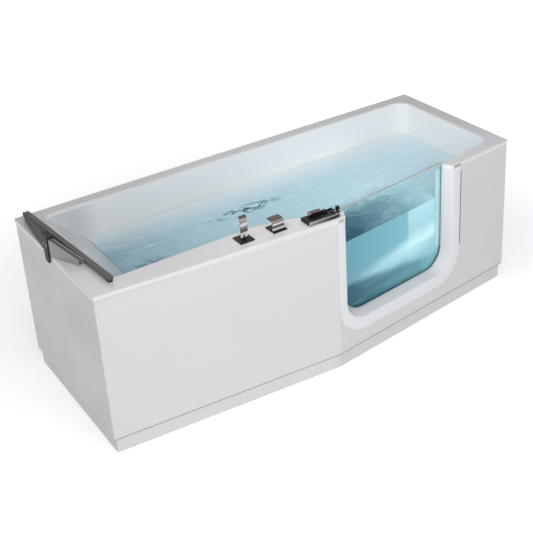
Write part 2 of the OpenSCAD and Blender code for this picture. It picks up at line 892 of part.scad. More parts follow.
// A flat strip bent to an L, upright and then back towards the basin; its fork straddles the hub's ear
module mixer_lever() {
    face_y = hub_ear_w / 2 + lever_gap;
    foot_z = plate_t + lever_foot;
    placed() at_mixer() color("silver") {
        translate([mixer_lever_x - mixer_lever_w / 2, face_y, foot_z])
            cube([mixer_lever_w, lever_t, mixer_lever_h - lever_foot]);
        translate([mixer_lever_x - mixer_lever_w / 2, face_y, plate_t + mixer_lever_h - lever_t])
            cube([mixer_lever_w, mixer_lever_l, lever_t]);
        for (side = [-1, 1])
            translate([side > 0 ? hub_ear_w / 2 + fork_gap : -hub_ear_w / 2 - fork_gap - fork_t, -face_y, foot_z])
                cube([fork_t, 2 * face_y + 1, fork_h]);
        translate([-hub_ear_w / 2 - 1, 0, tilt_z]) rotate([0, 90, 0])
            cylinder(h = hub_ear_w + 2, r = tilt_pin_r);
    }
}

module mixer_body() {
    placed() at_mixer() color("silver") translate([0, 0, -shell_t - body_l]) cylinder(h = body_l - run_gap, r = body_r);
}

// A six-sided nut that clamps a valve body to the rim from below
module body_nut() {
    color("darkgoldenrod") translate([0, 0, -shell_t - nut_h]) difference() {
        cylinder(h = nut_h, r = body_r + 8, $fn = 6);
        translate([0, 0, -over]) cylinder(h = nut_h + 2 * over, r = body_r + run_gap);
    }
}

module mixer_nut() {
    placed() at_mixer() body_nut();
}

module control_nut() {
    placed() at_control() body_nut();
}

body_low = bath_h - shell_t - body_l;
tail_pitch = 18;
tail_grip = 60;
olive_t = 6;
olive_h = 1.5;
joint_gap = 0.1;
// Copper tails, each with an olive where the supply's fitting ends
module inlet_tails() {
    placed() color("peru") for (side = [-1, 1])
        translate([mixer_x + side * tail_pitch / 2, mixer_y, tail_z]) {
            cylinder(h = body_low - tail_z, r = tail_r);
            translate([0, 0, tail_grip]) cylinder(h = olive_t, r = tail_r + olive_h);
        }
}

// A round pipe through a list of points, with ball corners
module pipe(points, r) {
    for (i = [0 : len(points) - 2]) {
        v = points[i + 1] - points[i];
        l = norm(v);
        translate(points[i]) rotate([0, acos(v[2] / l), atan2(v[1], v[0])]) cylinder(h = l, r = r);
    }
    if (len(points) > 2)
        for (i = [1 : len(points) - 2]) translate(points[i]) sphere(r);
}

fill_r = 8;
overflow_body_l = 34;
overflow_body_r = 28;
overflow_neck_r = 20;
overflow_y = basin_front - shell_t - overflow_body_l / 2;
// The space taken by the overflow's body behind the wall, and by the waste's body
module overflow_space() {
    translate([overflow_x, basin_front + over, overflow_z]) rotate([90, 0, 0])
        cylinder(h = shell_t + overflow_body_l + 2 * over, r = overflow_body_r + joint_gap);
}

module waste_space() {
    translate([waste_x, waste_y, waste_low - over])
        cylinder(h = shell_under - waste_low + over, r = waste_body_r + joint_gap);
}

module fill_pipe() {
    fill_z = body_low + 15;
    placed() color("silver") difference() {
        pipe([
            [mixer_x - body_r - joint_gap, mixer_y, fill_z],
            [overflow_x + overflow_body_r + 12, mixer_y, fill_z],
            [overflow_x + overflow_body_r + 12, overflow_y, fill_z],
            [overflow_x + overflow_body_r / 2, overflow_y, fill_z]
        ], fill_r);
        overflow_space();
    }
}

module control_plate() {
    placed() at_control() color("black") base_plate();
}

// The waste control's lever stands on its hub, and its stem turns the valve body
module control_lever() {
    placed() at_control() {
        color("dimgray") translate([0, 0, -shell_t]) cylinder(h = shell_t + plate_t + 0.5, r = hub_r);
        color("silver") {
            translate([-control_lever_w / 2, -hub_r + 2, plate_t + 0.5])
                cube([control_lever_w, lever_t, control_lever_h]);
            translate([-control_lever_w / 2, -hub_r + 2, plate_t + 0.5 + control_lever_h - lever_t])
                cube([control_lever_w, control_lever_l, lever_t]);
        }
    }
}

module control_body() {
    placed() at_control() color("silver") translate([0, 0, -shell_t - body_l]) cylinder(h = body_l - run_gap, r = body_r);
}

// The cable runs from the waste control down and under the rails to the waste
cable_r = 3;
cable_z = pipe_z + overflow_r + cable_r + 1;
module waste_cable() {
    placed() color("dimgray") difference() {
        pipe([
            [control_x, control_y, body_low],
            [control_x, control_y, cable_z],
            [control_x, waste_y - waste_body_r - 30, cable_z],
            [waste_x, waste_y - waste_body_r - 30, cable_z],
            [waste_x, waste_y - waste_body_r + 1, cable_z]
        ], cable_r);
        waste_space();
    }
}

rosette_t = 10;
module overflow_rosette() {
    placed() translate([overflow_x, basin_front, overflow_z]) rotate([-90, 0, 0]) color("silver")
        cylinder(h = rosette_t, r = overflow_neck_r + 14);
}

module overflow_body() {
    placed() translate([overflow_x, basin_front, overflow_z]) rotate([90, 0, 0]) color("dimgray") {
        cylinder(h = shell_t + over, r = overflow_neck_r);
        translate([0, 0, shell_t]) cylinder(h = overflow_body_l, r = overflow_body_r);
    }
}

module overflow_pipe() {
    placed() color("white") difference() {
        pipe([
            [overflow_x, overflow_y, overflow_z - overflow_body_r / 2],
            [overflow_x, overflow_y, pipe_z],
            [overflow_x, waste_y, pipe_z],
            [waste_x - waste_body_r / 2, waste_y, pipe_z]
        ], overflow_r);
        overflow_space();
        waste_space();
    }
}

flange_t = 3;
guide_w = 5;
guide_r = 9;
neck_t = 3;
stem_r = 4;
module waste_flange() {
    placed() translate([waste_x, waste_y, 0]) color("silver") difference() {
        union() {
            difference() {
                union() {
                    translate([0, 0, floor_z]) cylinder(h = flange_t, r = waste_flange_r);
                    translate([0, 0, shell_under]) cylinder(h = shell_t + eps, r = waste_neck_r);
                }
                translate([0, 0, shell_under - over])
                    cylinder(h = shell_t + flange_t + 2 * over, r = waste_neck_r - neck_t);
            }
            translate([1 - waste_neck_r, -guide_w / 2, shell_under])
                cube([2 * waste_neck_r - 2, guide_w, shell_t]);
            translate([-guide_w / 2, 1 - waste_neck_r, shell_under])
                cube([guide_w, 2 * waste_neck_r - 2, shell_t]);
            translate([0, 0, shell_under]) cylinder(h = shell_t, r = guide_r);
        }
        translate([0, 0, shell_under - over]) cylinder(h = shell_t + 2 * over, r = stem_r + bush_gap);
    }
}

plug_h = 7;
stem_l = 40;
module waste_plug() {
    placed() translate([waste_x, waste_y, 0]) color("silver") {
        translate([0, 0, floor_z + flange_t + run_gap]) cylinder(h = plug_h, r = waste_flange_r - 4);
        translate([0, 0, floor_z + flange_t - stem_l]) cylinder(h = stem_l + 1, r = stem_r);
    }
}

waste_wall = 3;
waste_low = pipe_z - outlet_r - waste_wall;
module waste_body() {
    placed() translate([waste_x, waste_y, 0]) color("dimgray") difference() {
        translate([0, 0, waste_low]) cylinder(h = shell_under - waste_low, r = waste_body_r);
        translate([0, 0, waste_low + waste_wall]) cylinder(h = shell_under - waste_low, r = waste_body_r - waste_wall);
        translate([0, 0, pipe_z]) rotate([-90, 0, 0]) cylinder(h = waste_body_r + over, r = outlet_r + joint_gap);
    }
}

outlet_end = bath_w - 8;
outlet_grip = 60;
outlet_bead = 3;
// The outlet passes through the body's wall; a bead shows how far the drain's socket goes
module outlet_pipe() {
    start = waste_y + waste_body_r - waste_wall;
    placed() translate([waste_x, start, pipe_z]) rotate([-90, 0, 0]) color("gray") difference() {
        union() {
            cylinder(h = outlet_end - start, r = outlet_r);
            translate([0, 0, outlet_end - start - outlet_grip - outlet_bead])
                cylinder(h = outlet_bead, r = outlet_r + outlet_bead);
        }
        translate([0, 0, -over]) cylinder(h = outlet_end - start + 2 * over, r = outlet_r - waste_wall);
    }
}

// The head rest hooks over the rim at the head end
rest_y = (basin_front + basin_y1) / 2;
rest_z = bath_h + rest_lift;

// Turns the bar and what lies along it about the middle of the bar
module along_bar() {
    translate([rest_bar_x - rest_bar_w / 2, rest_y, 0]) rotate([0, 0, rest_yaw])
        translate([rest_bar_w / 2 - rest_bar_x, -rest_y, 0]) children();
}

module rest_bar() {
    placed() along_bar() color("dimgray") translate([rest_bar_x - rest_bar_w, rest_y - rest_bar_l / 2, rest_z])
        cube([rest_bar_w, rest_bar_l, rest_bar_h]);
}

beam_gap = 0.1;
beam_x = rest_bar_x - rest_bar_w - beam_gap - rest_beam_w;
beam_groove = 2;
beam_low = rest_z + 12;
beam_top = rest_z + rest_beam_h;
block_r = rest_hook_top / 2 - 1;
beam_start = rest_y - block_r - beam_gap;
cheek_t = 3;
cheek_gap = 1;
core_in = cheek_t + beam_gap + over / 2;

// A bar from the hook's block to the front end of the beam: its sides, and its underside and top at each end
module along_beam(x0, x1, hook_z, end_z, more = 0) {
    hull() {
        translate([x0 - rest_gap + beam_gap, beam_start - over, hook_z[0]])
            cube([x1 - x0, over + more, hook_z[1] - hook_z[0]]);
        along_bar() translate([beam_x + x0, rest_y - rest_beam_l - more, end_z[0]])
            cube([x1 - x0, over + more, end_z[1] - end_z[0]]);
    }
}

// The beam falls from the hook to the bar, with a groove along its top
module rest_beam() {
    placed() color("gray") difference() {
        along_beam(core_in, rest_beam_w - core_in, [rest_z, beam_top], [rest_z, beam_low]);
        along_beam((rest_beam_w - beam_groove) / 2, (rest_beam_w + beam_groove) / 2,
            [beam_top - beam_groove, beam_top + over], [beam_low - beam_groove, beam_low + over], over);
    }
}

// Two screws with heads let into the hook's plate
head_t = 1.5;
module at_rest_screws(shift) {
    for (side = [-1, 1])
        translate([-rest_gap - rest_plate_t + shift, rest_y + side * rest_hook_top / 5, bath_h + rest_hook_h / 2])
            rotate([0, 90, 0]) children();
}

// A tapered plate hangs outside the rim; an arm runs from the block on its inner face to the bar's rear end
arm_h = 13;
arm_step = 1.5;
module rest_hook() {
    top = bath_h + rest_hook_h;
    low = bath_h - rest_hook_drop;
    placed() color("dimgray") {
        difference() {
            translate([-rest_gap, rest_y, 0]) rotate([90, 0, -90]) linear_extrude(rest_plate_t)
                polygon([[-rest_hook_top / 2, top], [rest_hook_top / 2, top],
                    [rest_hook_foot / 2, low], [-rest_hook_foot / 2, low]]);
            at_rest_screws(-over) cylinder(h = over + head_t, r = screw_r + bush_gap);
        }
        hull() {
            translate([-rest_gap - rest_plate_t / 2, rest_y - block_r, rest_z])
                cube([rest_plate_t / 2 + rest_beam_w, 2 * block_r, top - arm_step - rest_z]);
            along_bar() translate([beam_x + rest_beam_w - rest_arm_w, rest_y + rest_bar_l / 2 - over, rest_z])
                cube([rest_arm_w, over, arm_h]);
        }
    }
}

// Two cheeks cover the beam's sides down to the rim
module rest_cheeks() {
    placed() color("darkgray") for (x = [0, rest_beam_w - cheek_t])
        along_beam(x, x + cheek_t, [bath_h + cheek_gap, beam_top - cheek_gap],
            [bath_h + cheek_gap, beam_low - cheek_gap]);
}

pad_l = 24;
module rest_pads() {
    placed() color("black") {
        along_bar() for (side = [-1, 1])
            translate([rest_bar_x - rest_bar_w + 2, rest_y + side * (rest_bar_l / 2 - pad_l / 2 - 2) - pad_l / 2, bath_h])
                cube([rest_bar_w - 4, pad_l, rest_lift]);
        translate([cheek_gap, rest_y - block_r + cheek_gap, bath_h])
            cube([rest_beam_w - 2 * rest_gap - cheek_gap, 2 * (block_r - cheek_gap), rest_lift]);
        translate([-rest_gap, rest_y - rest_hook_foot / 2 + 2, bath_h - rest_hook_drop + 2])
            cube([rest_gap, rest_hook_foot - 4, lip_h / 2]);
    }
}

module rest_screws() {
    placed() color("silver") at_rest_screws(0) cylinder(h = head_t - bush_gap, r = screw_r);
}

tub_shell();
floor_board();
rail_front();
rail_rear();
cross_tubes();
foot_studs();
foot_nuts();
foot_pads();
batten_front();
batten_door_left();
batten_door_right();
batten_head();
batten_foot();
panel_front();
panel_door();
panel_head();
panel_foot();
plinth_front();
plinth_door();
plinth_head();
plinth_foot();
wall_brackets();
door_frame();
door_seal();
door_glass();
hinge_rail();
hinge_pins();
hinge_brackets();
hinge_screws();
latch_keeper();
latch_housing();
latch_strip();
latch_lever();
latch_bolt();
mixer_plate();
mixer_hub();
mixer_lever();
mixer_body();
mixer_nut();
inlet_tails();
fill_pipe();
control_plate();
control_lever();
control_body();
control_nut();
waste_cable();
overflow_rosette();
overflow_body();
overflow_pipe();
waste_flange();
waste_plug();
waste_body();
outlet_pipe();
rest_bar();
rest_beam();
rest_hook();
rest_cheeks();
rest_pads();
rest_screws();
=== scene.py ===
import math
import bpy
import bmesh
from mathutils import Matrix, Vector


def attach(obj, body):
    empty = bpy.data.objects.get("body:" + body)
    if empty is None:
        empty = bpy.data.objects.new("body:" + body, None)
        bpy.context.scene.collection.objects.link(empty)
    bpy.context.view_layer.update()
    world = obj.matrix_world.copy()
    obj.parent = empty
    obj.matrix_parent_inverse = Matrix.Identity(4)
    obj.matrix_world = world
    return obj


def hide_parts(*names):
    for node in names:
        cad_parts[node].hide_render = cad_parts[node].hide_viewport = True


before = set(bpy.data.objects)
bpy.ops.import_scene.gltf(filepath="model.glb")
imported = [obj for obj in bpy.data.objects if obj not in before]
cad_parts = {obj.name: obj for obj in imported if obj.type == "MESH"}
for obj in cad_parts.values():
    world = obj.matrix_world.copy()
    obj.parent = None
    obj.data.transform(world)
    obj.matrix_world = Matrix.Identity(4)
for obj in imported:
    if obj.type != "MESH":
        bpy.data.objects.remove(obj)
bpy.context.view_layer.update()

# Sizes of the bath in millimetres, measured from the head end, from the widest point of the front
# and from the floor
LENGTH, WIDTH, RIM = 1700.0, 700.0, 590.0
KINK = 842.0
HEAD_BACK, FOOT_BACK = 65.0, 105.0
MIDDLE = Vector((846.5, 350.0, 0.0))
DOOR_ANGLE = math.atan2(FOOT_BACK, LENGTH - KINK)
DOOR_COS, DOOR_SIN = math.cos(DOOR_ANGLE), math.sin(DOOR_ANGLE)
DOOR_SLOPE = FOOT_BACK / (LENGTH - KINK)
FRONT_SLOPE = HEAD_BACK / KINK
FRONT_ANGLE = math.atan(FRONT_SLOPE)
PLINTH_TOP, PANEL_TOP = 61.0, 573.7

# The basin: its walls, its shoulder and floor, how far the walls lean in, and its corners
FRONT_WALL, REAR_WALL = 141.0, 652.0
HEAD_WALL, HEAD_SHOULDER, HEEL, FOOT_WALL = 90.0, 230.0, 430.0, 1645.0
SHOULDER, FLOOR, BALL = 450.0, 125.0, 60.0
FOOT_LEAN, FRONT_LEAN, REAR_LEAN = 30.0, 20.0, 12.0
HEAD_R, FOOT_R = 24.0, 56.0
BAY_START, BAY_BACK = 560.0, 40.0
BAY_FROM, BAY_TO = 14.0, 613.0
BAY_FOOT = 30.0
RIM_ROUND, RIM_EDGE = 9.0, 6.0
WATER, WATER_BACK = 452.0, 54.0

# The doorway, as left, right, sill and corner radius along the angled front: at the sealing face,
# in front, round the raised band, and where the panel is cut out for it
JAMB = 40.0
IN_LEFT, IN_RIGHT, IN_SILL, IN_R = 60.0, 547.0, 175.0, 81.5
OUT_LEFT, OUT_RIGHT, OUT_SILL, OUT_R = 34.0, 564.0, 163.0, 90.0
BAND_LEFT, BAND_RIGHT, BAND_SILL, BAND_R = 3.0, 606.0, 113.0, 124.0
PANEL_CUT = (14.0, 594.0, 125.0, 112.0)
SEAL_W, SEAL_T, SEAL_DROP = 9.0, 3.0, 16.0
GLASS_MIDDLE = 47.3

# Where the levers stand: the mixer and the waste control by their foot, the latch by its distance
# from the widest point and behind the front
MIXER_SPOT = (535.0, 84.0, 594.0)
CONTROL_SPOT = (654.0, 77.0, 594.5)
LATCH_ASIDE, LATCH_BACK = 40.0, 52.0

# The photograph's camera: angles in degrees, focal length and height of the sight's centre in
# pixels, and its place in metres
SIGHT_TURN, SIGHT_RISE, SIGHT_TILT = -31.348, 26.088, -3.672
PICTURE, FOCAL, SIGHT_HEIGHT, SENSOR = 533.0, 1073.57, 175.0, 36.0
CAMERA_SPOT = (-1.78496, -2.84785, 2.26681)


def place(x, y, z):
    """A point of the bath in the row's frame, in metres."""
    return (Vector((x, y, z)) - MIDDLE) / 1000.0


def on_door(s, d, z=0.0):
    """A point s along the angled front and d behind it."""
    return Vector((KINK + s * DOOR_COS - d * DOOR_SIN, s * DOOR_SIN + d * DOOR_COS, z))


# ---- camera
def aim_camera():
    turn, rise, tilt = (math.radians(a) for a in (SIGHT_TURN, SIGHT_RISE, SIGHT_TILT))
    away = Vector((math.sin(turn) * math.cos(rise), -math.cos(turn) * math.cos(rise), math.sin(rise)))
    right = (-away).cross(Vector((0, 0, 1))).normalized()
    up = right.cross(-away)
    tilted_right = math.cos(tilt) * right + math.sin(tilt) * up
    tilted_up = -math.sin(tilt) * right + math.cos(tilt) * up
    data = bpy.data.cameras.new("camera")
    cam = bpy.data.objects.new("camera", data)
    bpy.context.scene.collection.objects.link(cam)
    data.sensor_width = SENSOR
    data.lens = FOCAL * SENSOR / PICTURE
    data.shift_y = (SIGHT_HEIGHT - PICTURE / 2) / PICTURE
    data.clip_end = 50.0
    m = Matrix((tilted_right, tilted_up, away)).transposed().to_4x4()
    m.translation = Vector(CAMERA_SPOT)
    cam.matrix_world = m
    bpy.context.scene.camera = cam


aim_camera()


# ---- nodes
def feed(tree, n, inputs):
    """Gives each named input of a node its value, or the socket that feeds it."""
    for key, value in inputs.items():
        if isinstance(value, bpy.types.NodeSocket):
            tree.links.new(value, n.inputs[key])
        else:
            n.inputs[key].default_value = value
    return n


def node(tree, kind, inputs=None, **settings):
    """A new node with its settings made and its inputs fed."""
    n = tree.nodes.new(kind)
    for key, value in settings.items():
        setattr(n, key, value)
    return feed(tree, n, inputs or {})


def node_group(name, inputs, outputs):
    g = bpy.data.node_groups.new(name, "ShaderNodeTree")
    for label, value in inputs:
        s = g.interface.new_socket(label, in_out="INPUT", socket_type="NodeSocketFloat")
        s.default_value = value
    for label, kind in outputs:
        g.interface.new_socket(label, in_out="OUTPUT", socket_type="NodeSocket" + kind)
    return g, g.nodes.new("NodeGroupInput"), g.nodes.new("NodeGroupOutput")


def ramp(tree, fac, low, high, v0=0.0, v1=1.0):
    """v0 where fac is low, v1 where it is high, and even steps between."""
    return node(tree, "ShaderNodeMapRange", {
        "From Min": low, "From Max": high, "To Min": v0, "To Max": v1, "Value": fac}).outputs["Result"]


def maths(tree, kind, *values):
    return node(tree, "ShaderNodeMath", dict(enumerate(values)), operation=kind).outputs[0]


def times(tree, a, b):
    return maths(tree, "MULTIPLY", a, b)


def plus(tree, a, b):
    return maths(tree, "ADD", a, b)


def minus(tree, a, b):
    return maths(tree, "SUBTRACT", a, b)


def along(tree, vector, direction):
    """The distance along a direction, from a vector socket."""
    n = node(tree, "ShaderNodeVectorMath", {0: vector, 1: direction}, operation="DOT_PRODUCT")
    return n.outputs["Value"]


def axes(tree, vector):
    """The three distances that a vector socket holds."""
    return [along(tree, vector, d) for d in ((1, 0, 0), (0, 1, 0), (0, 0, 1))]


def blend(tree, fac, a, b):
    """Colour a where fac is 0 and b where it is 1; each is a colour or a socket."""
    a, b = ((*v, 1.0) if isinstance(v, tuple) else v for v in (a, b))
    return node(tree, "ShaderNodeMix", {"Factor": fac, "A": a, "B": b}, data_type="RGBA").outputs["Result"]


def clouds(tree, vector, scale, **more):
    return node(tree, "ShaderNodeTexNoise", {"Vector": vector, "Scale": scale, **more}).outputs["Fac"]


def waves(tree, vector, scale, stretch=(1, 1, 1), turn=0.0, detail=3.0, distortion=0.5):
    """Noise on a vector that is stretched and turned about Z."""
    m = node(tree, "ShaderNodeMapping", {"Scale": stretch, "Rotation": (0.0, 0.0, turn), "Vector": vector})
    return clouds(tree, m.outputs["Vector"], scale, Detail=detail, Distortion=distortion)


def object_vector(tree):
    return tree.nodes.new("ShaderNodeTexCoord").outputs["Object"]


def door_vector(tree):
    """Object coordinates turned so that X runs along the angled front and Y behind it, in metres."""
    x, y = (MIDDLE.x - KINK) / 1000.0, MIDDLE.y / 1000.0
    return node(tree, "ShaderNodeMapping", {
        "Rotation": (0.0, 0.0, -DOOR_ANGLE), "Vector": object_vector(tree),
        "Location": (DOOR_COS * x + DOOR_SIN * y, DOOR_COS * y - DOOR_SIN * x, 0.0)}).outputs["Vector"]


# ---- materials
SURFACE = [("Height", "Float"), ("Rough", "Float"), ("Tone", "Float")]


def build_sheen_group():
    """Slow waviness and fine orange peel of a moulded or painted skin, with faint smudges."""
    g, i, o = node_group("moulded_skin", [("Scale", 8.0), ("Smudge", 0.3), ("Roughness", 0.2)], SURFACE)
    co = object_vector(g)
    slow = clouds(g, co, i.outputs["Scale"], Detail=2.0)
    peel = clouds(g, co, 420.0, Detail=1.0)
    smudge = clouds(g, co, 5.0, Detail=5.0, Roughness=0.6)
    amount = times(g, ramp(g, smudge, 0.42, 0.68), i.outputs["Smudge"])
    feed(g, o, {"Height": maths(g, "MULTIPLY_ADD", peel, 0.02, slow),
                "Rough": maths(g, "MULTIPLY_ADD", amount, 0.25, i.outputs["Roughness"]), "Tone": amount})
    return g


def build_brushed_group():
    """Fine lines left by brushing or turning, along X."""
    g, i, o = node_group("brushed_metal", [("Across", 900.0), ("Roughness", 0.25), ("Amount", 0.1)], SURFACE)
    m = node(g, "ShaderNodeMapping", {"Scale": (0.02, 1.0, 1.0), "Vector": object_vector(g)})
    lines = clouds(g, m.outputs["Vector"], i.outputs["Across"], Detail=3.0)
    rough = maths(g, "MULTIPLY_ADD", lines, i.outputs["Amount"], i.outputs["Roughness"])
    feed(g, o, {"Height": lines, "Rough": rough, "Tone": lines})
    return g


SKIN = build_sheen_group()
BRUSHED = build_brushed_group()


def start_material(name):
    m = bpy.data.materials.new(name)
    m.use_nodes = True
    t = m.node_tree
    t.nodes.clear()
    b = t.nodes.new("ShaderNodeBsdfPrincipled")
    out = node(t, "ShaderNodeOutputMaterial", {"Surface": b.outputs[0]})
    return m, t, b, out


def add_bump(tree, shader, height, strength, distance):
    n = node(tree, "ShaderNodeBump", {"Strength": strength, "Distance": distance, "Height": height})
    tree.links.new(n.outputs["Normal"], shader.inputs["Normal"])


def finish_with(name, group, colour, other, bump, values, coat=0.0, metallic=0.0, shine=0.5):
    """A material whose colour, roughness and bump come from one of the shared groups."""
    m, t, b, _ = start_material(name)
    g = node(t, "ShaderNodeGroup", node_tree=group)
    feed(t, g, values)
    add_bump(t, b, g.outputs["Height"], *bump)
    feed(t, b, {"Base Color": blend(t, g.outputs["Tone"], colour, other), "Roughness": g.outputs["Rough"],
                "Metallic": metallic, "IOR": 1.5, "Specular IOR Level": shine,
                "Coat Weight": coat, "Coat Roughness": 0.05})
    return m


def skin(name, colour, other, bump, scale, smudge, roughness, **more):
    """A moulded or painted skin; bump is its strength and its depth in metres."""
    values = {"Scale": scale, "Smudge": smudge, "Roughness": roughness}
    return finish_with(name, SKIN, colour, other, bump, values, **more)


def brushed(name, colour, other, bump, across, roughness, amount, metallic=1.0):
    """A brushed or turned metal, or a plain grain."""
    values = {"Across": across, "Roughness": roughness, "Amount": amount}
    return finish_with(name, BRUSHED, colour, other, bump, values, metallic=metallic)


def bright(name, roughness):
    """Polished chrome."""
    return brushed(name, (0.62, 0.62, 0.63), (0.74, 0.74, 0.75), (0.04, 0.0002), 300.0, roughness, 0.06)


def shader_of(m):
    """A material's tree, its main shader and the socket that feeds its colour."""
    b = next(n for n in m.node_tree.nodes if n.type == "BSDF_PRINCIPLED")
    return m.node_tree, b, b.inputs["Base Color"].links[0].from_socket


# One white acrylic in lighter and darker copies, as painted light and shade: the doorway surround painted
# lighter, the angled front panel and the head and foot panels painted darker as shade.
acrylic = skin("white_acrylic", (0.86, 0.865, 0.87), (0.83, 0.835, 0.84), (0.25, 0.0012),
               6.0, 0.35, 0.16, coat=0.25)
surround_lit_skin = skin("surround_acrylic_painted_light", (0.87, 0.87, 0.885), (0.84, 0.84, 0.855), (0.25, 0.0012),
                     6.0, 0.35, 0.2, coat=0.15)
panel_skin = skin("panel_acrylic", (0.80, 0.79, 0.80), (0.775, 0.765, 0.775), (0.25, 0.0015),
                  3.5, 0.4, 0.28, coat=0.1)
side_shaded_skin = skin("side_acrylic_painted_shade", (0.70, 0.675, 0.69), (0.66, 0.635, 0.65), (0.25, 0.0015),
                 3.5, 0.5, 0.3, coat=0.1)
door_shaded_skin = skin("door_acrylic_painted_shade", (0.74, 0.725, 0.735), (0.71, 0.695, 0.705), (0.25, 0.0015),
                 3.5, 0.4, 0.28, coat=0.1)


def build_reflection_band_group():
    """Painted reflections on a bent chrome strip: bands of a room as the strip would mirror it, by height
    between Low and High;
    its foot is painted milky and not metallic."""
    g, i, o = node_group("chrome_painted_reflections", [("Low", 0.59), ("High", 0.67)],
                         [("Colour", "Color"), ("Metal", "Float")])
    z = along(g, object_vector(g), (0, 0, 1))
    t = maths(g, "DIVIDE", minus(g, z, i.outputs["Low"]), minus(g, i.outputs["High"], i.outputs["Low"]))
    t = plus(g, t, times(g, waves(g, object_vector(g), 60.0), 0.08))
    # painted reflections: each stop is a light or dark band of a mirrored room, the lowest a milky foot
    bands = node(g, "ShaderNodeValToRGB", {"Fac": t})
    stops = [(0.0, (0.80, 0.80, 0.83)), (0.26, (0.78, 0.78, 0.80)), (0.33, (0.12, 0.11, 0.12)),
             (0.50, (0.17, 0.16, 0.17)), (0.66, (0.58, 0.57, 0.59)), (0.78, (0.20, 0.185, 0.18)),
             (0.92, (0.34, 0.31, 0.30)), (1.0, (0.12, 0.095, 0.09))]
    elements = bands.color_ramp.elements
    while len(elements) < len(stops):
        elements.new(0.5)
    for e, (share, colour) in zip(elements, stops):
        e.position = share
        e.color = (*colour, 1.0)
    feed(g, o, {"Colour": bands.outputs["Color"], "Metal": ramp(g, t, 0.26, 0.31)})
    return g


REFLECTION_BANDS = build_reflection_band_group()


def reflection_banded(name, low, high):
    """Chrome whose colour follows the painted reflection bands between two heights in millimetres."""
    m = bright(name, 0.08)
    t, b, _ = shader_of(m)
    g = node(t, "ShaderNodeGroup", node_tree=REFLECTION_BANDS)
    feed(t, g, {"Low": low / 1000.0, "High": high / 1000.0})
    feed(t, b, {"Base Color": g.outputs["Colour"], "Metallic": g.outputs["Metal"]})
    return m


lever_chrome = reflection_banded("lever_chrome", 594.0, 668.5)
control_chrome = reflection_banded("control_chrome", 594.0, 629.0)
latch_chrome = reflection_banded("latch_chrome", 585.0, 618.5)


def latch_reflection_chrome():
    """The latch's bright front, with painted reflections: light at its left end and darker to the right."""
    m = bright("latch_front_painted_reflection", 0.1)
    t, b, _ = shader_of(m)
    v = object_vector(t)
    x, _, z = axes(t, v)
    # painted reflections: light at the left end, dark to the right, a bright tip at the left end and one tone
    # along the top
    right = ramp(t, plus(t, x, times(t, waves(t, v, 40.0), 0.02)), -0.095, -0.01)
    colour = blend(t, right, (0.34, 0.33, 0.36), (0.055, 0.050, 0.052))
    colour = blend(t, ramp(t, x, -0.138, -0.142), colour, (0.85, 0.85, 0.88))
    colour = blend(t, ramp(t, z, 0.6005, 0.6025), colour, (0.30, 0.29, 0.29))
    feed(t, b, {"Base Color": colour})
    return m


latch_front_reflection = latch_reflection_chrome()


def paint_shell_shade(m):
    """Painted shade on the shell: the rim's flat top is painted greyer than the basin, more so towards the rear
    and the foot end;
    the head slope is painted duller, as shade."""
    t, b, base = shader_of(m)
    x, y, z = axes(t, object_vector(t))
    # painted shade: the rim top darker towards the rear and the foot end, and the head slope darker
    far = times(t, ramp(t, x, -0.2, 0.8), ramp(t, y, -0.35, 0.1, 0.35, 1.0))
    grey = blend(t, ramp(t, y, -0.28, 0.20), (0.84, 0.83, 0.83), (0.60, 0.595, 0.595))
    grey = blend(t, far, grey, (0.52, 0.505, 0.505))
    slope = times(t, ramp(t, x, -0.56, -0.64), ramp(t, z, 0.583, 0.57))
    base = blend(t, times(t, slope, 0.8), base, (0.60, 0.61, 0.61))
    feed(t, b, {"Base Color": blend(t, ramp(t, z, 0.581, 0.5885), base, grey)})


def paint_groove_shade(m):
    """Painted shade in the narrow groove beside the doorway: it is painted dark within, as shade in a recess.
    """
    t, b, base = shader_of(m)
    s, d, z = axes(t, door_vector(t))
    # painted shade: darkens the groove between these bounds
    groove_shade = times(t, ramp(t, s, 0.6060, 0.6066), ramp(t, s, 0.6125, 0.6119))
    groove_shade = times(t, groove_shade, ramp(t, d, 0.0034, 0.0044))
    groove_shade = times(t, groove_shade, ramp(t, z, 0.20, 0.24))
    feed(t, b, {"Base Color": blend(t, groove_shade, base, (0.26, 0.21, 0.20))})


paint_shell_shade(acrylic)
paint_groove_shade(door_shaded_skin)

chrome = bright("polished_chrome", 0.06)
dark_plate = skin("black_gloss", (0.010, 0.008, 0.008), (0.018, 0.015, 0.014), (0.1, 0.0005),
                  30.0, 0.5, 0.3, shine=0.16)
rest_dark = skin("charcoal_plastic", (0.026, 0.025, 0.023), (0.042, 0.040, 0.038), (0.35, 0.0008),
                 60.0, 0.6, 0.5, shine=0.2)
rest_bar_skin = skin("bar_plastic", (0.085, 0.082, 0.078), (0.115, 0.111, 0.106), (0.35, 0.0008),
                     60.0, 0.6, 0.45)
rest_beam_skin = skin("beam_plastic", (0.12, 0.117, 0.112), (0.17, 0.165, 0.158), (0.35, 0.0008),
                      60.0, 0.6, 0.45)
rest_grey = skin("grey_plastic", (0.34, 0.335, 0.325), (0.40, 0.39, 0.38), (0.3, 0.0008), 60.0, 0.6, 0.34)
white_paint = skin("white_enamel", (0.42, 0.58, 0.62), (0.38, 0.54, 0.58), (0.2, 0.0006), 40.0, 0.5, 0.3)
edge_grey = skin("polished_glass_edge", (0.47, 0.43, 0.42), (0.53, 0.49, 0.48), (0.2, 0.0004), 60.0, 0.5, 0.25)
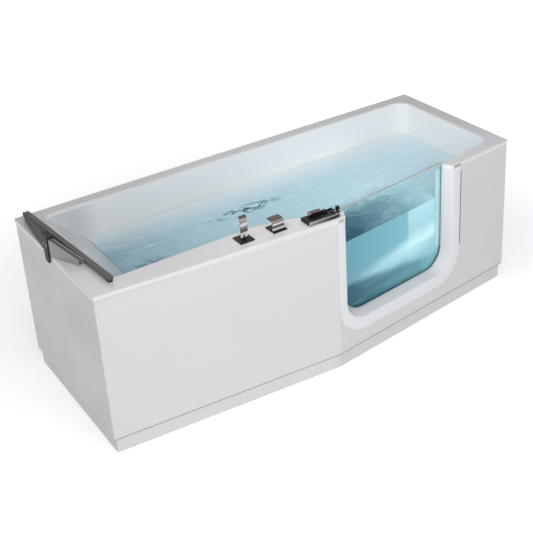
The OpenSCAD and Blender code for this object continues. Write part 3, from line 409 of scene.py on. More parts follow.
# painted shade: the dark tone of the plinth lip stands in for the shadow line under the panels
shadow_line_grey = skin("shadow_line_lip", (0.34, 0.33, 0.34), (0.40, 0.39, 0.40), (0.3, 0.0006), 80.0, 0.5, 0.5)
rubber = skin("black_rubber", (0.02, 0.02, 0.02), (0.045, 0.045, 0.043), (0.5, 0.001), 90.0, 0.8, 0.6)
seal_rubber = skin("clear_seal", (0.62, 0.66, 0.66), (0.70, 0.73, 0.73), (0.3, 0.0006), 90.0, 0.5, 0.4)
pipe_grey = skin("waste_pipe", (0.42, 0.43, 0.43), (0.50, 0.50, 0.50), (0.3, 0.001), 20.0, 0.8, 0.4)
steel = brushed("zinc_steel", (0.42, 0.43, 0.44), (0.58, 0.59, 0.60), (0.2, 0.0004), 120.0, 0.3, 0.25)
brass = brushed("turned_brass", (0.52, 0.38, 0.17), (0.68, 0.52, 0.26), (0.15, 0.0003), 400.0, 0.22, 0.2)
copper = brushed("copper_tube", (0.55, 0.27, 0.17), (0.70, 0.36, 0.24), (0.15, 0.0003), 400.0, 0.25, 0.2)
board = brushed("chipboard", (0.45, 0.34, 0.22), (0.62, 0.50, 0.35), (0.8, 0.002),
                260.0, 0.6, 0.3, metallic=0.0)


def glass_material():
    """Faintly tinted clear glass that lets light through to what it shades."""
    m, t, b, out = start_material("door_glass")
    cloud = node(t, "ShaderNodeTexNoise", {"Scale": 7.0, "Vector": object_vector(t)}).outputs["Fac"]
    feed(t, b, {"Base Color": (0.93, 0.985, 0.98, 1), "Transmission Weight": 1.0, "IOR": 1.1,
                "Roughness": ramp(t, cloud, 0.35, 0.75, 0.0, 0.03)})
    clear = node(t, "ShaderNodeBsdfTransparent", {"Color": (0.93, 0.98, 0.98, 1)})
    path = t.nodes.new("ShaderNodeLightPath")
    mix = node(t, "ShaderNodeMixShader", {
        "Fac": path.outputs["Is Shadow Ray"], 1: b.outputs[0], 2: clear.outputs[0]})
    feed(t, out, {"Surface": mix.outputs[0]})
    return m


glass = glass_material()


# ---- mesh helpers
def smooth_all(ob, smooth=True):
    for f in ob.data.polygons:
        f.use_smooth = smooth


def new_object(name, bm, material, smooth=True):
    mesh = bpy.data.meshes.new(name)
    bm.to_mesh(mesh)
    bm.free()
    ob = bpy.data.objects.new(name, mesh)
    bpy.context.scene.collection.objects.link(ob)
    ob.data.materials.append(material)
    smooth_all(ob, smooth)
    return ob


def bake(ob):
    """Replaces the object's mesh by its evaluated one and drops its modifiers."""
    dg = bpy.context.evaluated_depsgraph_get()
    dg.update()
    mesh = bpy.data.meshes.new_from_object(ob.evaluated_get(dg))
    old = ob.data
    ob.modifiers.clear()
    ob.data = mesh
    mesh.name = ob.name
    bpy.data.meshes.remove(old)
    return ob


def round_edges(ob, width, segments=2, angle=35.0):
    ob.modifiers.new("weld", "WELD").merge_threshold = 0.00001
    b = ob.modifiers.new("edges", "BEVEL")
    b.width = width / 1000.0
    b.segments = segments
    b.limit_method = "ANGLE"
    b.angle_limit = math.radians(angle)
    b.harden_normals = True
    b.miter_outer = "MITER_ARC"
    return ob


def thicken(ob, thickness):
    """Gives a skin its thickness, in metres, on its inner side."""
    s = ob.modifiers.new("thick", "SOLIDIFY")
    s.thickness = thickness
    s.offset = -1.0
    return bake(ob)


def cut_away(ob, cutter):
    m = ob.modifiers.new("cut", "BOOLEAN")
    m.operation = "DIFFERENCE"
    m.solver = "EXACT"
    m.object = cutter
    bake(ob)
    data = cutter.data
    bpy.data.objects.remove(cutter)
    bpy.data.meshes.remove(data)


def unite(obs):
    """Joins pieces into the first one, with their materials."""
    bpy.ops.object.select_all(action="DESELECT")
    for ob in obs:
        ob.select_set(True)
    bpy.context.view_layer.objects.active = obs[0]
    bpy.ops.object.join()
    return obs[0]


def settle(ob, body="bath", *nodes, slot=None):
    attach(ob, body)
    if nodes:
        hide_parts(*nodes)
    return ob


def quarter(n):
    """The angles of a quarter turn in n steps."""
    return [math.pi / 2 * k / n for k in range(n + 1)]


def fillet(prev, cur, nxt, r, n):
    """The corner at cur as an arc of radius r in n steps."""
    a, b = (prev - cur).normalized(), (nxt - cur).normalized()
    ang = math.acos(max(-1.0, min(1.0, a.dot(b))))
    if r <= 0.01 or ang > math.pi - 0.01:
        return [cur.copy() for _ in range(n + 1)]
    t = min(r / math.tan(ang / 2), 0.49 * (prev - cur).length, 0.49 * (nxt - cur).length)
    r = t * math.tan(ang / 2)
    centre = cur + (a + b).normalized() * (r / math.sin(ang / 2))
    u, v = cur + a * t - centre, cur + b * t - centre
    a0, a1 = math.atan2(u.y, u.x), math.atan2(v.y, v.x)
    da = (a1 - a0 + math.pi) % (2 * math.pi) - math.pi
    return [centre + r * Vector((math.cos(a0 + da * k / n), math.sin(a0 + da * k / n))) for k in range(n + 1)]


def between(a, b, n):
    """n points strictly between a and b."""
    return [a.lerp(b, k / (n + 1)) for k in range(1, n + 1)]


def ring_of(bm, points):
    """Vertices at points of the bath."""
    return [bm.verts.new(place(*p)) for p in points]


def sweep_rings(bm, rings, closed=True):
    """Quads between rings of the same count, each a list of vertices."""
    for a, b in zip(rings, rings[1:]):
        n = len(a)
        for k in range(n if closed else n - 1):
            j = (k + 1) % n
            bm.faces.new((a[k], a[j], b[j], b[k]))


def close_rings(bm, rings):
    """A closed form through the rings, with a face on its first and its last."""
    sweep_rings(bm, rings)
    bm.faces.new(rings[0])
    bm.faces.new(rings[-1])
    bmesh.ops.recalc_face_normals(bm, faces=bm.faces)


def plan_prism(points, z0, z1, name, material, smooth=False):
    """A plan outline drawn up from one height to another, in millimetres."""
    bm = bmesh.new()
    close_rings(bm, [ring_of(bm, [(p.x, p.y, z) for p in points]) for z in (z0, z1)])
    return new_object(name, bm, material, smooth)


def front_line(x, g):
    """Where the left half of the front lies at x, moved in by g."""
    return HEAD_BACK - x * FRONT_SLOPE + g / math.cos(FRONT_ANGLE)


def door_line(x, g):
    """Where the angled front lies at x, moved in by g."""
    return (x - KINK) * DOOR_SLOPE + g / DOOR_COS


def rim_outline(g):
    """The five corners of the bath in plan, moved in by g."""
    kx = (HEAD_BACK + KINK * DOOR_SLOPE + g / math.cos(FRONT_ANGLE) - g / DOOR_COS) / (FRONT_SLOPE + DOOR_SLOPE)
    far = LENGTH - g
    return [Vector(p) for p in ((g, front_line(g, g)), (kx, door_line(kx, g)), (far, door_line(far, g)),
                                (far, WIDTH - g), (g, WIDTH - g))]


# ---- moulded shell
def lean(z, far, near):
    """How far a wall leans in at a height below the shoulder: near at the shoulder, far at the floor's ball."""
    sx, sz = near, SHOULDER
    cx, cz = far + BALL, FLOOR + BALL
    dx, dz = cx - sx, cz - sz
    dist = math.hypot(dx, dz)
    ang = math.atan2(dz, dx) - math.asin(BALL / dist)
    reach = math.sqrt(dist * dist - BALL * BALL)
    tx, tz = sx + reach * math.cos(ang), sz + reach * math.sin(ang)
    if z >= tz:
        return sx + (tx - sx) * (sz - z) / (sz - tz)
    return cx - math.sqrt(max(0.0, BALL * BALL - (cz - z) ** 2))


def basin_ring(z):
    """The basin's outline in plan at a height."""
    head, foot, front, rear = HEAD_SHOULDER, FOOT_WALL, FRONT_WALL, REAR_WALL
    if z >= SHOULDER:
        t = max(0.0, min(1.0, (RIM - 10.0 - z) / (RIM - 10.0 - SHOULDER)))
        head = HEAD_WALL + (HEAD_SHOULDER - HEAD_WALL) * t
    else:
        head += lean(z, HEEL - HEAD_SHOULDER, 0.0)
        foot -= lean(z, FOOT_LEAN, 0.0)
        front += lean(z, FRONT_LEAN, 0.0)
        rear -= lean(z, REAR_LEAN, 0.0)
    low = FLOOR + BAY_FOOT
    bay_in = 0.0 if z >= low else BAY_FOOT - math.sqrt(max(0.0, BAY_FOOT ** 2 - (low - z) ** 2))
    c2 = on_door(BAY_FROM + bay_in, BAY_BACK + bay_in).xy
    c3 = on_door(BAY_TO - bay_in, BAY_BACK + bay_in).xy
    bay_end = on_door(BAY_TO, BAY_BACK)
    v0, v1 = Vector((head, front)), Vector((BAY_START, front))
    v4 = Vector((bay_end.x + (FRONT_WALL - bay_end.y) * 3.0, front))
    v5, v6, v7 = Vector((foot, front)), Vector((foot, rear)), Vector((head, rear))
    steps = 18
    curve = [Vector((v1.x + (c2.x - v1.x) * k / steps, front - (front - c2.y) * (k / steps) ** 2))
             for k in range(1, steps)]
    pts = fillet(v7, v0, v1, HEAD_R, 8)
    pts += between(pts[-1], v1, 14) + [v1] + curve
    for points_before, corner in (
            (0, fillet(curve[-1], c2, c3, 16.0, 4)), (26, fillet(c2, c3, v4, 26.0, 6)),
            (5, fillet(c3, v4, v5, 60.0, 6)), (2, fillet(v4, v5, v6, FOOT_R, 10)),
            (14, fillet(v5, v6, v7, FOOT_R, 10)), (40, fillet(v6, v7, v0, HEAD_R, 8))):
        pts += between(pts[-1], corner[0], points_before) + corner
    return pts + between(pts[-1], pts[0], 14)


def grown(ring, o):
    """The ring moved outwards by o along its own normals."""
    n = len(ring)
    out = []
    for k in range(n):
        a, b = ring[k - 1], ring[(k + 1) % n]
        j = 2
        while (b - a).length < 1e-6:
            a, b = ring[k - j], ring[(k + j) % n]
            j += 1
        t = (b - a).normalized()
        out.append(ring[k] + Vector((t.y, -t.x)) * o)
    return out


def rim_ring(g, r):
    """The bath's outline moved in by g, with corners of radius r and points along its long sides."""
    pts = rim_outline(g)
    n = len(pts)
    corners = []
    for k in range(n):
        corners += fillet(pts[k - 1], pts[k], pts[(k + 1) % n], r, 6)
    full = []
    for a, b in zip(corners, corners[1:] + corners[:1]):
        full.append(a)
        if (b - a).length > 100.0:
            full += between(a, b, 24)
    return full


def make_shell():
    """The basin, the flat rim and its rounded outer edge as one skin of 5 mm."""
    bm = bmesh.new()

    def ring(points, z):
        return ring_of(bm, [(p.x, p.y, z) for p in points])
    mouth = basin_ring(RIM - RIM_ROUND)
    rings = [ring(grown(mouth, RIM_ROUND + 3.0), RIM)]
    for a in quarter(6):
        rings.append(ring(grown(mouth, RIM_ROUND * (1 - math.sin(a))),
                          RIM - RIM_ROUND + RIM_ROUND * math.cos(a)))
    for z in [560.0, 535.0, 510.0, 485.0, 462.0, SHOULDER + 4, SHOULDER - 4,
              430.0, 390.0, 340.0, 290.0, 240.0, 210.0]:
        rings.append(ring(basin_ring(z), z))
    for a in quarter(10):
        z = FLOOR + BALL - BALL * math.sin(a)
        rings.append(ring(basin_ring(max(z, FLOOR + 0.001)), z))
    sweep_rings(bm, [list(reversed(r)) for r in rings])
    bm.faces.new(rings[-1])
    outer = [ring(rim_ring(RIM_EDGE + 3.0, 0.5), RIM)]
    for a in quarter(5):
        outer.append(ring(rim_ring(RIM_EDGE * (1 - math.sin(a)), max(0.5, RIM_EDGE * math.sin(a))),
                          RIM - RIM_EDGE + RIM_EDGE * math.cos(a)))
    outer.append(ring(rim_ring(0.0, RIM_EDGE), RIM - 15.5))
    sweep_rings(bm, outer)
    around = [bm.edges.get(pair) for group in (rings[0], outer[0])
              for pair in zip(group, group[1:] + group[:1])]
    bmesh.ops.triangle_fill(bm, use_beauty=True, use_dissolve=False, edges=[e for e in around if e],
                            normal=(0, 0, 1))
    bmesh.ops.remove_doubles(bm, verts=bm.verts, dist=1e-6)
    bmesh.ops.recalc_face_normals(bm, faces=bm.faces)
    up = [f for f in bm.faces if abs(f.normal.z) > 0.99 and f.calc_center_median().z > RIM / 1000 - 0.001]
    if up and up[0].normal.z < 0:
        bmesh.ops.reverse_faces(bm, faces=bm.faces)
    return thicken(new_object("bath_shell", bm, acrylic), 0.005)


def u_path(left, right, bottom, r, depth, top, arc=14, side=16):
    """Points round the doorway from the top of its left jamb to the top of its right jamb."""
    pts = [(left, top + (bottom + r - top) * k / side) for k in range(side)]
    pts += [(left + r - r * math.cos(a), bottom + r - r * math.sin(a)) for a in quarter(arc)]
    low = right - left - 2 * r
    pts += [(left + r + low * k / 12, bottom) for k in range(1, 12)]
    pts += [(right - r + r * math.sin(a), bottom + r - r * math.cos(a)) for a in quarter(arc)]
    pts += [(right, bottom + r + (top - bottom - r) * k / side) for k in range(1, side + 1)]
    return [on_door(s, depth, z) for s, z in pts]


def doorway_row(t, wider, depth, top):
    """The doorway's void at share t of its depth, made wider all round."""
    return u_path(OUT_LEFT + (IN_LEFT - OUT_LEFT) * t - wider, OUT_RIGHT + (IN_RIGHT - OUT_RIGHT) * t + wider,
                  OUT_SILL + (IN_SILL - OUT_SILL) * t - wider, OUT_R + (IN_R - OUT_R) * t + wider, depth, top)


def path_cutter(paths, material):
    bm = bmesh.new()
    close_rings(bm, [ring_of(bm, path) for path in paths])
    return new_object("cutter", bm, material)


shell = make_shell()
void = [doorway_row(max(0.0, depth / JAMB), 0.0, depth, RIM + 40.0) for depth in (-12.0, 0.0, 20.0, 40.0, 60.0)]
cut_away(shell, path_cutter(void, acrylic))
smooth_all(shell)
round_edges(shell, 1.6, angle=50.0)
settle(shell, "bath", "tub_shell", slot="acrylic")


# ---- doorway surround
def make_surround():
    """One skin from the sealing face out along the jambs, round the front edge and over the raised band."""
    top = RIM - 5.2
    back_round, front_round, band_ramp = 3.0, 5.0, 4.0
    paths = [doorway_row(1.0, 7.0, JAMB, top)]
    for k, a in enumerate(quarter(4)):
        paths.append(doorway_row(1.0 - 0.05 * k / 4, back_round * (1 - math.sin(a)),
                                 JAMB - back_round * (1 - math.cos(a)), top))
    for t in (0.75, 0.5, 0.35):
        paths.append(doorway_row(t, 0.0, JAMB * t, top))
    for k, a in enumerate(quarter(6)):
        paths.append(doorway_row(front_round / JAMB * (1 - k / 6), front_round * (1 - math.cos(a)),
                                 front_round * (1 - math.sin(a)), top))

    def band(g, depth):
        return u_path(BAND_LEFT + g, BAND_RIGHT - g, BAND_SILL + g, BAND_R - g, depth, top)
    for k in range(7):
        t = k / 6
        paths.append(band(band_ramp * (1 - t), 3.0 * (t * t * (3 - 2 * t))))
    paths.append(band(-0.2, 5.0))
    bm = bmesh.new()
    sweep_rings(bm, [ring_of(bm, path) for path in paths], closed=False)
    bmesh.ops.recalc_face_normals(bm, faces=bm.faces)
    mid = [f for f in bm.faces if abs(f.calc_center_median().z - 0.14) < 0.02]
    if mid and sum(f.normal.y for f in mid) > 0:
        bmesh.ops.reverse_faces(bm, faces=bm.faces)
    return thicken(new_object("doorway_surround", bm, surround_lit_skin), 0.002)


settle(make_surround(), "bath", "door_frame", slot="acrylic")


def make_door_panel():
    """The panel of the angled front, cut out for the doorway, with its groove and its lower flange."""
    face, back, deep = rim_outline(3.0), rim_outline(8.0), rim_outline(33.0)
    ob = plan_prism([face[1], face[2], back[2], back[1]], PLINTH_TOP, PANEL_TOP, "door_panel", door_shaded_skin)
    opening = [u_path(*PANEL_CUT, depth, RIM + 40.0) for depth in (-20.0, 30.0)]
    cut_away(ob, path_cutter(opening, panel_skin))
    groove = [on_door(s, d) for s, d in ((607.0, -5.0), (611.5, -5.0), (611.5, 6.0), (607.0, 6.0))]
    cut_away(ob, plan_prism(groove, 250.0, 553.0, "cutter", panel_skin, smooth=True))
    flange = plan_prism([back[1], back[2], deep[2], deep[1]], PLINTH_TOP, PLINTH_TOP + 5.0, "flange", door_shaded_skin)
    return round_edges(unite([ob, flange]), 1.2, angle=40.0)


settle(make_door_panel(), "bath", "panel_door", slot="panel")


# ---- carried-over nodes
def dress(material, *names, bevel=0.0, segments=2):
    for n in names:
        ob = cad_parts[n]
        ob.data.materials.clear()
        ob.data.materials.append(material)
        if bevel:
            round_edges(ob, bevel, segments)


dress(panel_skin, "panel_front", "plinth_front", bevel=1.2)
dress(door_shaded_skin, "plinth_door", bevel=1.2)
dress(side_shaded_skin, "panel_head", "panel_foot", "plinth_head", "plinth_foot", bevel=1.2)
dress(board, "floor_board", "batten_front", "batten_door_left", "batten_door_right", "batten_head",
      "batten_foot", bevel=0.5, segments=1)
dress(steel, "rail_front", "rail_rear", "cross_tubes", bevel=1.0)
dress(steel, "foot_studs", "foot_nuts", "wall_brackets", "hinge_pins", bevel=0.4, segments=1)
dress(rubber, "foot_pads", "rest_pads", bevel=0.8)
dress(seal_rubber, "door_seal", bevel=0.6)
dress(glass, "door_glass", bevel=1.0)
dress(white_paint, "hinge_rail", "hinge_brackets", bevel=0.8)
dress(dark_plate, "latch_keeper", bevel=0.8)
dress(latch_front_reflection, "latch_strip", bevel=0.8)
dress(chrome, "overflow_rosette", "waste_flange", "waste_plug", bevel=0.8)
dress(dark_plate, "latch_housing", "latch_bolt", "mixer_plate", "control_plate", "mixer_hub", bevel=0.8)
dress(brass, "mixer_body", "mixer_nut", "control_body", "control_nut", bevel=0.6)
dress(copper, "inlet_tails", bevel=0.3)
dress(pipe_grey, "fill_pipe", "overflow_body", "overflow_pipe", "waste_body", "outlet_pipe", "waste_cable")
dress(rest_bar_skin, "rest_bar", bevel=1.2)
dress(rest_beam_skin, "rest_beam", bevel=0.8)
dress(rest_dark, "rest_hook", bevel=1.2)
dress(rest_grey, "rest_cheeks", bevel=0.6)


# ---- pieces that follow a path or repeat
def make_tree(name, inputs):
    """A Geometry Nodes tree with named inputs; it ends in Realize Instances and Set Material."""
    g = bpy.data.node_groups.new(name, "GeometryNodeTree")
    g.interface.new_socket("Geometry", in_out="INPUT", socket_type="NodeSocketGeometry")
    ids = {}
    for label, kind, value in inputs + [("Material", "Material", None)]:
        s = g.interface.new_socket(label, in_out="INPUT", socket_type="NodeSocket" + kind)
        if value is not None:
            s.default_value = value
        ids[label] = s.identifier
    g.interface.new_socket("Geometry", in_out="OUTPUT", socket_type="NodeSocketGeometry")
    start, end = g.nodes.new("NodeGroupInput"), g.nodes.new("NodeGroupOutput")
    real = g.nodes.new("GeometryNodeRealizeInstances")
    paint = node(g, "GeometryNodeSetMaterial", {
        "Geometry": real.outputs["Geometry"], "Material": start.outputs["Material"]})
    feed(g, end, {"Geometry": paint.outputs["Geometry"]})
    return g, start.outputs, real.inputs["Geometry"], ids


def build_strip_tree():
    """A rectangular bar swept along the input's edges, with rounded bends; the path lies in its XY plane."""
    g, given, end, ids = make_tree("bent_strip", [
        ("Across", "Float", 0.004), ("Height", "Float", 0.02), ("Bend", "Float", 0.004), ("Steps", "Int", 6)])
    curve = node(g, "GeometryNodeMeshToCurve", {0: given["Geometry"]})
    bend = node(g, "GeometryNodeFilletCurve", {
        "Curve": curve.outputs[0], "Radius": given["Bend"], "Count": given["Steps"],
        "Limit Radius": True}, mode="POLY")
    upright = node(g, "GeometryNodeSetCurveNormal", {0: bend.outputs[0]}, mode="Z_UP")
    section = node(g, "GeometryNodeCurvePrimitiveQuadrilateral", {
        "Width": given["Across"], "Height": given["Height"]})
    sweep = node(g, "GeometryNodeCurveToMesh", {
        "Curve": upright.outputs[0], "Profile Curve": section.outputs[0], "Fill Caps": True})
    g.links.new(sweep.outputs[0], end)
    return g, ids


def build_screw_tree():
    """A screw head with a hexagon recess on each point of the input."""
    g, given, end, ids = make_tree("screw_heads", [
        ("Radius", "Float", 0.0035), ("Thickness", "Float", 0.002), ("Turn", "Vector", (0, 0, 0))])

    def cylinder(vertices, share, lift):
        c = node(g, "GeometryNodeMeshCylinder", {
            "Vertices": vertices, "Radius": times(g, given["Radius"], share), "Depth": given["Thickness"]})
        up = node(g, "ShaderNodeCombineXYZ", {"Z": times(g, given["Thickness"], lift)})
        return node(g, "GeometryNodeTransform", {
            "Geometry": c.outputs["Mesh"], "Translation": up.outputs[0]}).outputs[0]
    head = node(g, "GeometryNodeMeshBoolean", {
        "Mesh 1": cylinder(24, 1.0, 0.5), "Mesh 2": cylinder(6, 0.5, 1.1)}, operation="DIFFERENCE")
    put = node(g, "GeometryNodeInstanceOnPoints", {
        "Points": given["Geometry"], "Instance": head.outputs[0], "Rotation": given["Turn"]})
    g.links.new(put.outputs[0], end)
    return g, ids


def grow(name, points, edges, tree, values, material):
    """Runs a tree on points given in metres and keeps the plain mesh it makes."""
    mesh = bpy.data.meshes.new(name)
    mesh.from_pydata([tuple(p) for p in points], edges, [])
    ob = bpy.data.objects.new(name, mesh)
    bpy.context.scene.collection.objects.link(ob)
    group, ids = tree
    mod = ob.modifiers.new("grow", "NODES")
    mod.node_group = group
    for key, value in {**values, "Material": material}.items():
        mod[ids[key]] = value
    return bake(ob)


STRIP = build_strip_tree()
SCREWS = build_screw_tree()


def strip(name, path, frame_of, origin, across, height, bend, material, steps=6):
    """A strip along a path in millimetres; frame_of holds the directions of the path's X, Y and Z."""
    values = {"Across": across / 1000.0, "Height": height / 1000.0, "Bend": bend / 1000.0, "Steps": steps}
    edges = [(k, k + 1) for k in range(len(path) - 1)]
    ob = grow(name, [(x / 1000.0, y / 1000.0, 0.0) for x, y in path], edges, STRIP, values, material)
    m = Matrix([Vector(v) for v in frame_of]).transposed().to_4x4()
    m.translation = place(*origin)
    ob.data.transform(m)
    bm = bmesh.new()
    bm.from_mesh(ob.data)
    bmesh.ops.remove_doubles(bm, verts=bm.verts, dist=1e-7)
    bmesh.ops.recalc_face_normals(bm, faces=bm.faces)
    bm.to_mesh(ob.data)
    bm.free()
    smooth_all(ob)
    return ob


def screws(name, points, radius, thickness, turn):
    """Steel screw heads at points in metres, each standing along Z before the turn."""
    return grow(name, points, [], SCREWS, {"Radius": radius, "Thickness": thickness, "Turn": turn}, steel)


def block(x0, x1, y0, y1, z0, z1, name, material, origin, turn=0.0):
    """A box in millimetres, turned about the vertical through its origin."""
    c, n = math.cos(turn), math.sin(turn)
    corners = [Vector((origin[0] + x * c - y * n, origin[1] + x * n + y * c))
               for x, y in ((x0, y0), (x1, y0), (x1, y1), (x0, y1))]
    return plan_prism(corners, origin[2] + z0, origin[2] + z1, name, material)


def rod(radius, length, start, axis, name, material):
    """A round rod in millimetres from its start along an axis."""
    bm = bmesh.new()
    bmesh.ops.create_cone(bm, cap_ends=True, segments=32, radius1=radius / 1000.0, radius2=radius / 1000.0,
                          depth=length / 1000.0)
    axis = Vector(axis).normalized()
    m = axis.to_track_quat("Z", "Y").to_matrix().to_4x4()
    m.translation = place(*(Vector(start) + axis * (length / 2.0)))
    bmesh.ops.transform(bm, matrix=m, verts=bm.verts)
    return new_object(name, bm, material)


SIDE_ON = ((0, 1, 0), (0, 0, 1), (1, 0, 0))
IN_PLAN = ((1, 0, 0), (0, 1, 0), (0, 0, 1))
STRIP_T = 4.0


def lever(parts, body, cad_node):
    """Joins a lever's parts, with their rounded edges kept, into the piece that replaces its CAD node."""
    settle(unite([bake(ob) for ob in parts]), body, cad_node, slot="chrome")


def make_mixer_lever():
    """An upright strip bent back at its top, with the two cheeks and the pin of its tilting joint."""
    x, y, z = MIXER_SPOT
    up = strip("mixer_strip", [(5.8, 0.6), (5.8, 72.0), (15.8, 72.0)], SIDE_ON, (x + 6.0, y, z),
               STRIP_T, 26.0, 9.0, lever_chrome)
    parts = [round_edges(up, 0.6, angle=40.0)]
    for side in (-6.5, 3.5):
        parts.append(block(side, side + 3.0, -3.8, 4.8, 5.0, 14.0, "cheek", lever_chrome, MIXER_SPOT))
    parts.append(rod(2.0, 8.0, (x - 4.0, y, z + 8.0), (1, 0, 0), "pin", lever_chrome))
    lever(parts, "mixer_handle", "mixer_lever")


def make_control_lever():
    """A wide strip bent back over its hub; the hub turns in the plate."""
    x, y, _ = CONTROL_SPOT
    up = strip("control_strip", [(-13.0, 0.0), (-13.0, 32.0), (21.0, 32.0)], SIDE_ON, CONTROL_SPOT,
               STRIP_T, 44.0, 11.0, control_chrome)
    hub = rod(17.0, 9.5, (x, y, 585.0), (0, 0, 1), "hub", dark_plate)
    lever([round_edges(up, 0.6, angle=40.0), round_edges(hub, 0.5, angle=40.0)],
          "waste_handle", "control_lever")


def make_latch_lever():
    """A bright plate with a turned-down tip on a dark block and boss."""
    c, n = math.cos(FRONT_ANGLE), math.sin(FRONT_ANGLE)
    x = KINK - LATCH_ASIDE
    spot = (x, front_line(x, LATCH_BACK), 0.0)
    plate = strip("latch_plate", [(-32.0, 608.0), (-32.0, 615.0), (10.0, 615.0)],
                  ((c, -n, 0), (0, 0, 1), (-n, -c, 0)), spot, STRIP_T, 18.0, 4.0, latch_chrome)
    core = block(-29.8, 9.0, -8.0, 8.0, 603.3, 613.0, "latch_block", dark_plate, spot, turn=-FRONT_ANGLE)
    boss = rod(7.0, 14.0, (spot[0], spot[1], 590.3), (0, 0, 1), "latch_boss", dark_plate)
    lever([round_edges(plate, 0.6, angle=40.0), round_edges(core, 0.8, angle=40.0), boss],
          "lock_lever", "latch_lever")


def make_shadow_line_lip():
    """A soft lip along the top of the plinth, under the panels' lower edge, coloured dark to stand in for the
    shadow line there: painted shade.
    """
    ring = rim_outline(8.5)
    wall_end = 690.0
    path = [(ring[4].x, wall_end)] + [(p.x, p.y) for p in ring[:3]] + [(ring[3].x, wall_end)]
    lip = strip("plinth_shadow_line", path, IN_PLAN, (0.0, 0.0, 58.3), 6.4, 5.0, 1.0, shadow_line_grey)
    settle(lip, "bath", slot="rubber")


def make_glass_edge():
    """The polished top edge of the glass."""
    ends = [tuple(on_door(s, GLASS_MIDDLE).xy) for s in (50.0, 557.0)]
    edge = strip("glass_top_edge", ends, IN_PLAN, (0.0, 0.0, 589.4), 6.8, 0.8, 0.0, edge_grey)
    settle(edge, "door", slot="glass")


make_mixer_lever()
make_control_lever()
make_latch_lever()
make_shadow_line_lip()
make_glass_edge()


def heads_of(node_name, outwards):
    """The foot of each separate head in a CAD node, and how thick the heads are, in metres."""
    bm = bmesh.new()
    bm.from_mesh(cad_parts[node_name].data)
    bmesh.ops.remove_doubles(bm, verts=bm.verts, dist=1e-6)
    feet, thick, seen = [], 0.0, set()
    for start in bm.verts:
        if start in seen:
            continue
        group, queue = [], [start]
        seen.add(start)
        while queue:
            v = queue.pop()
            group.append(v.co.copy())
            for e in v.link_edges:
                o = e.other_vert(v)
                if o not in seen:
                    seen.add(o)
                    queue.append(o)
        low, high = (Vector([end(c[k] for c in group) for k in range(3)]) for end in (min, max))
        middle = (low + high) / 2
        reach = [(c - middle).dot(outwards) for c in group]
        thick = max(reach) - min(reach)
        feet.append(middle + outwards * min(reach))
    bm.free()
    return feet, thick


def make_screws():
    """The screw heads of the hinge's brackets and of the head rest."""
    quarter_back = math.radians(-90.0)
    feet, thick = heads_of("hinge_screws", Vector((-DOOR_SIN, DOOR_COS, 0.0)))
    ob = screws("hinge_screw_heads", feet, 0.0035, thick, (quarter_back, 0.0, DOOR_ANGLE))
    settle(ob, "bath", "hinge_screws", slot="steel")
    feet, thick = heads_of("rest_screws", Vector((-1, 0, 0)))
    ob = screws("rest_screw_heads", feet, 0.0034, thick, (0.0, quarter_back, 0.0))
    settle(ob, "bath", "rest_screws", slot="steel")


make_screws()


def make_door_seal():
    """A soft lip along the sealing face, round the doorway's two lower corners."""
    w = SEAL_W / 2.0
    left, right, low, top = IN_LEFT - w, IN_RIGHT + w, IN_SILL - w, RIM - SEAL_DROP
    seal = strip("door_lip_seal", [(left, top), (left, low), (right, low), (right, top)],
                 ((DOOR_COS, DOOR_SIN, 0), (0, 0, 1), (DOOR_SIN, -DOOR_COS, 0)),
                 on_door(0.0, JAMB + SEAL_T / 2.0), SEAL_W, SEAL_T, IN_R + w, seal_rubber, steps=16)
    bake(round_edges(seal, 0.8, angle=50.0))
    settle(seal, "bath", "door_seal", slot="seal")


make_door_seal()


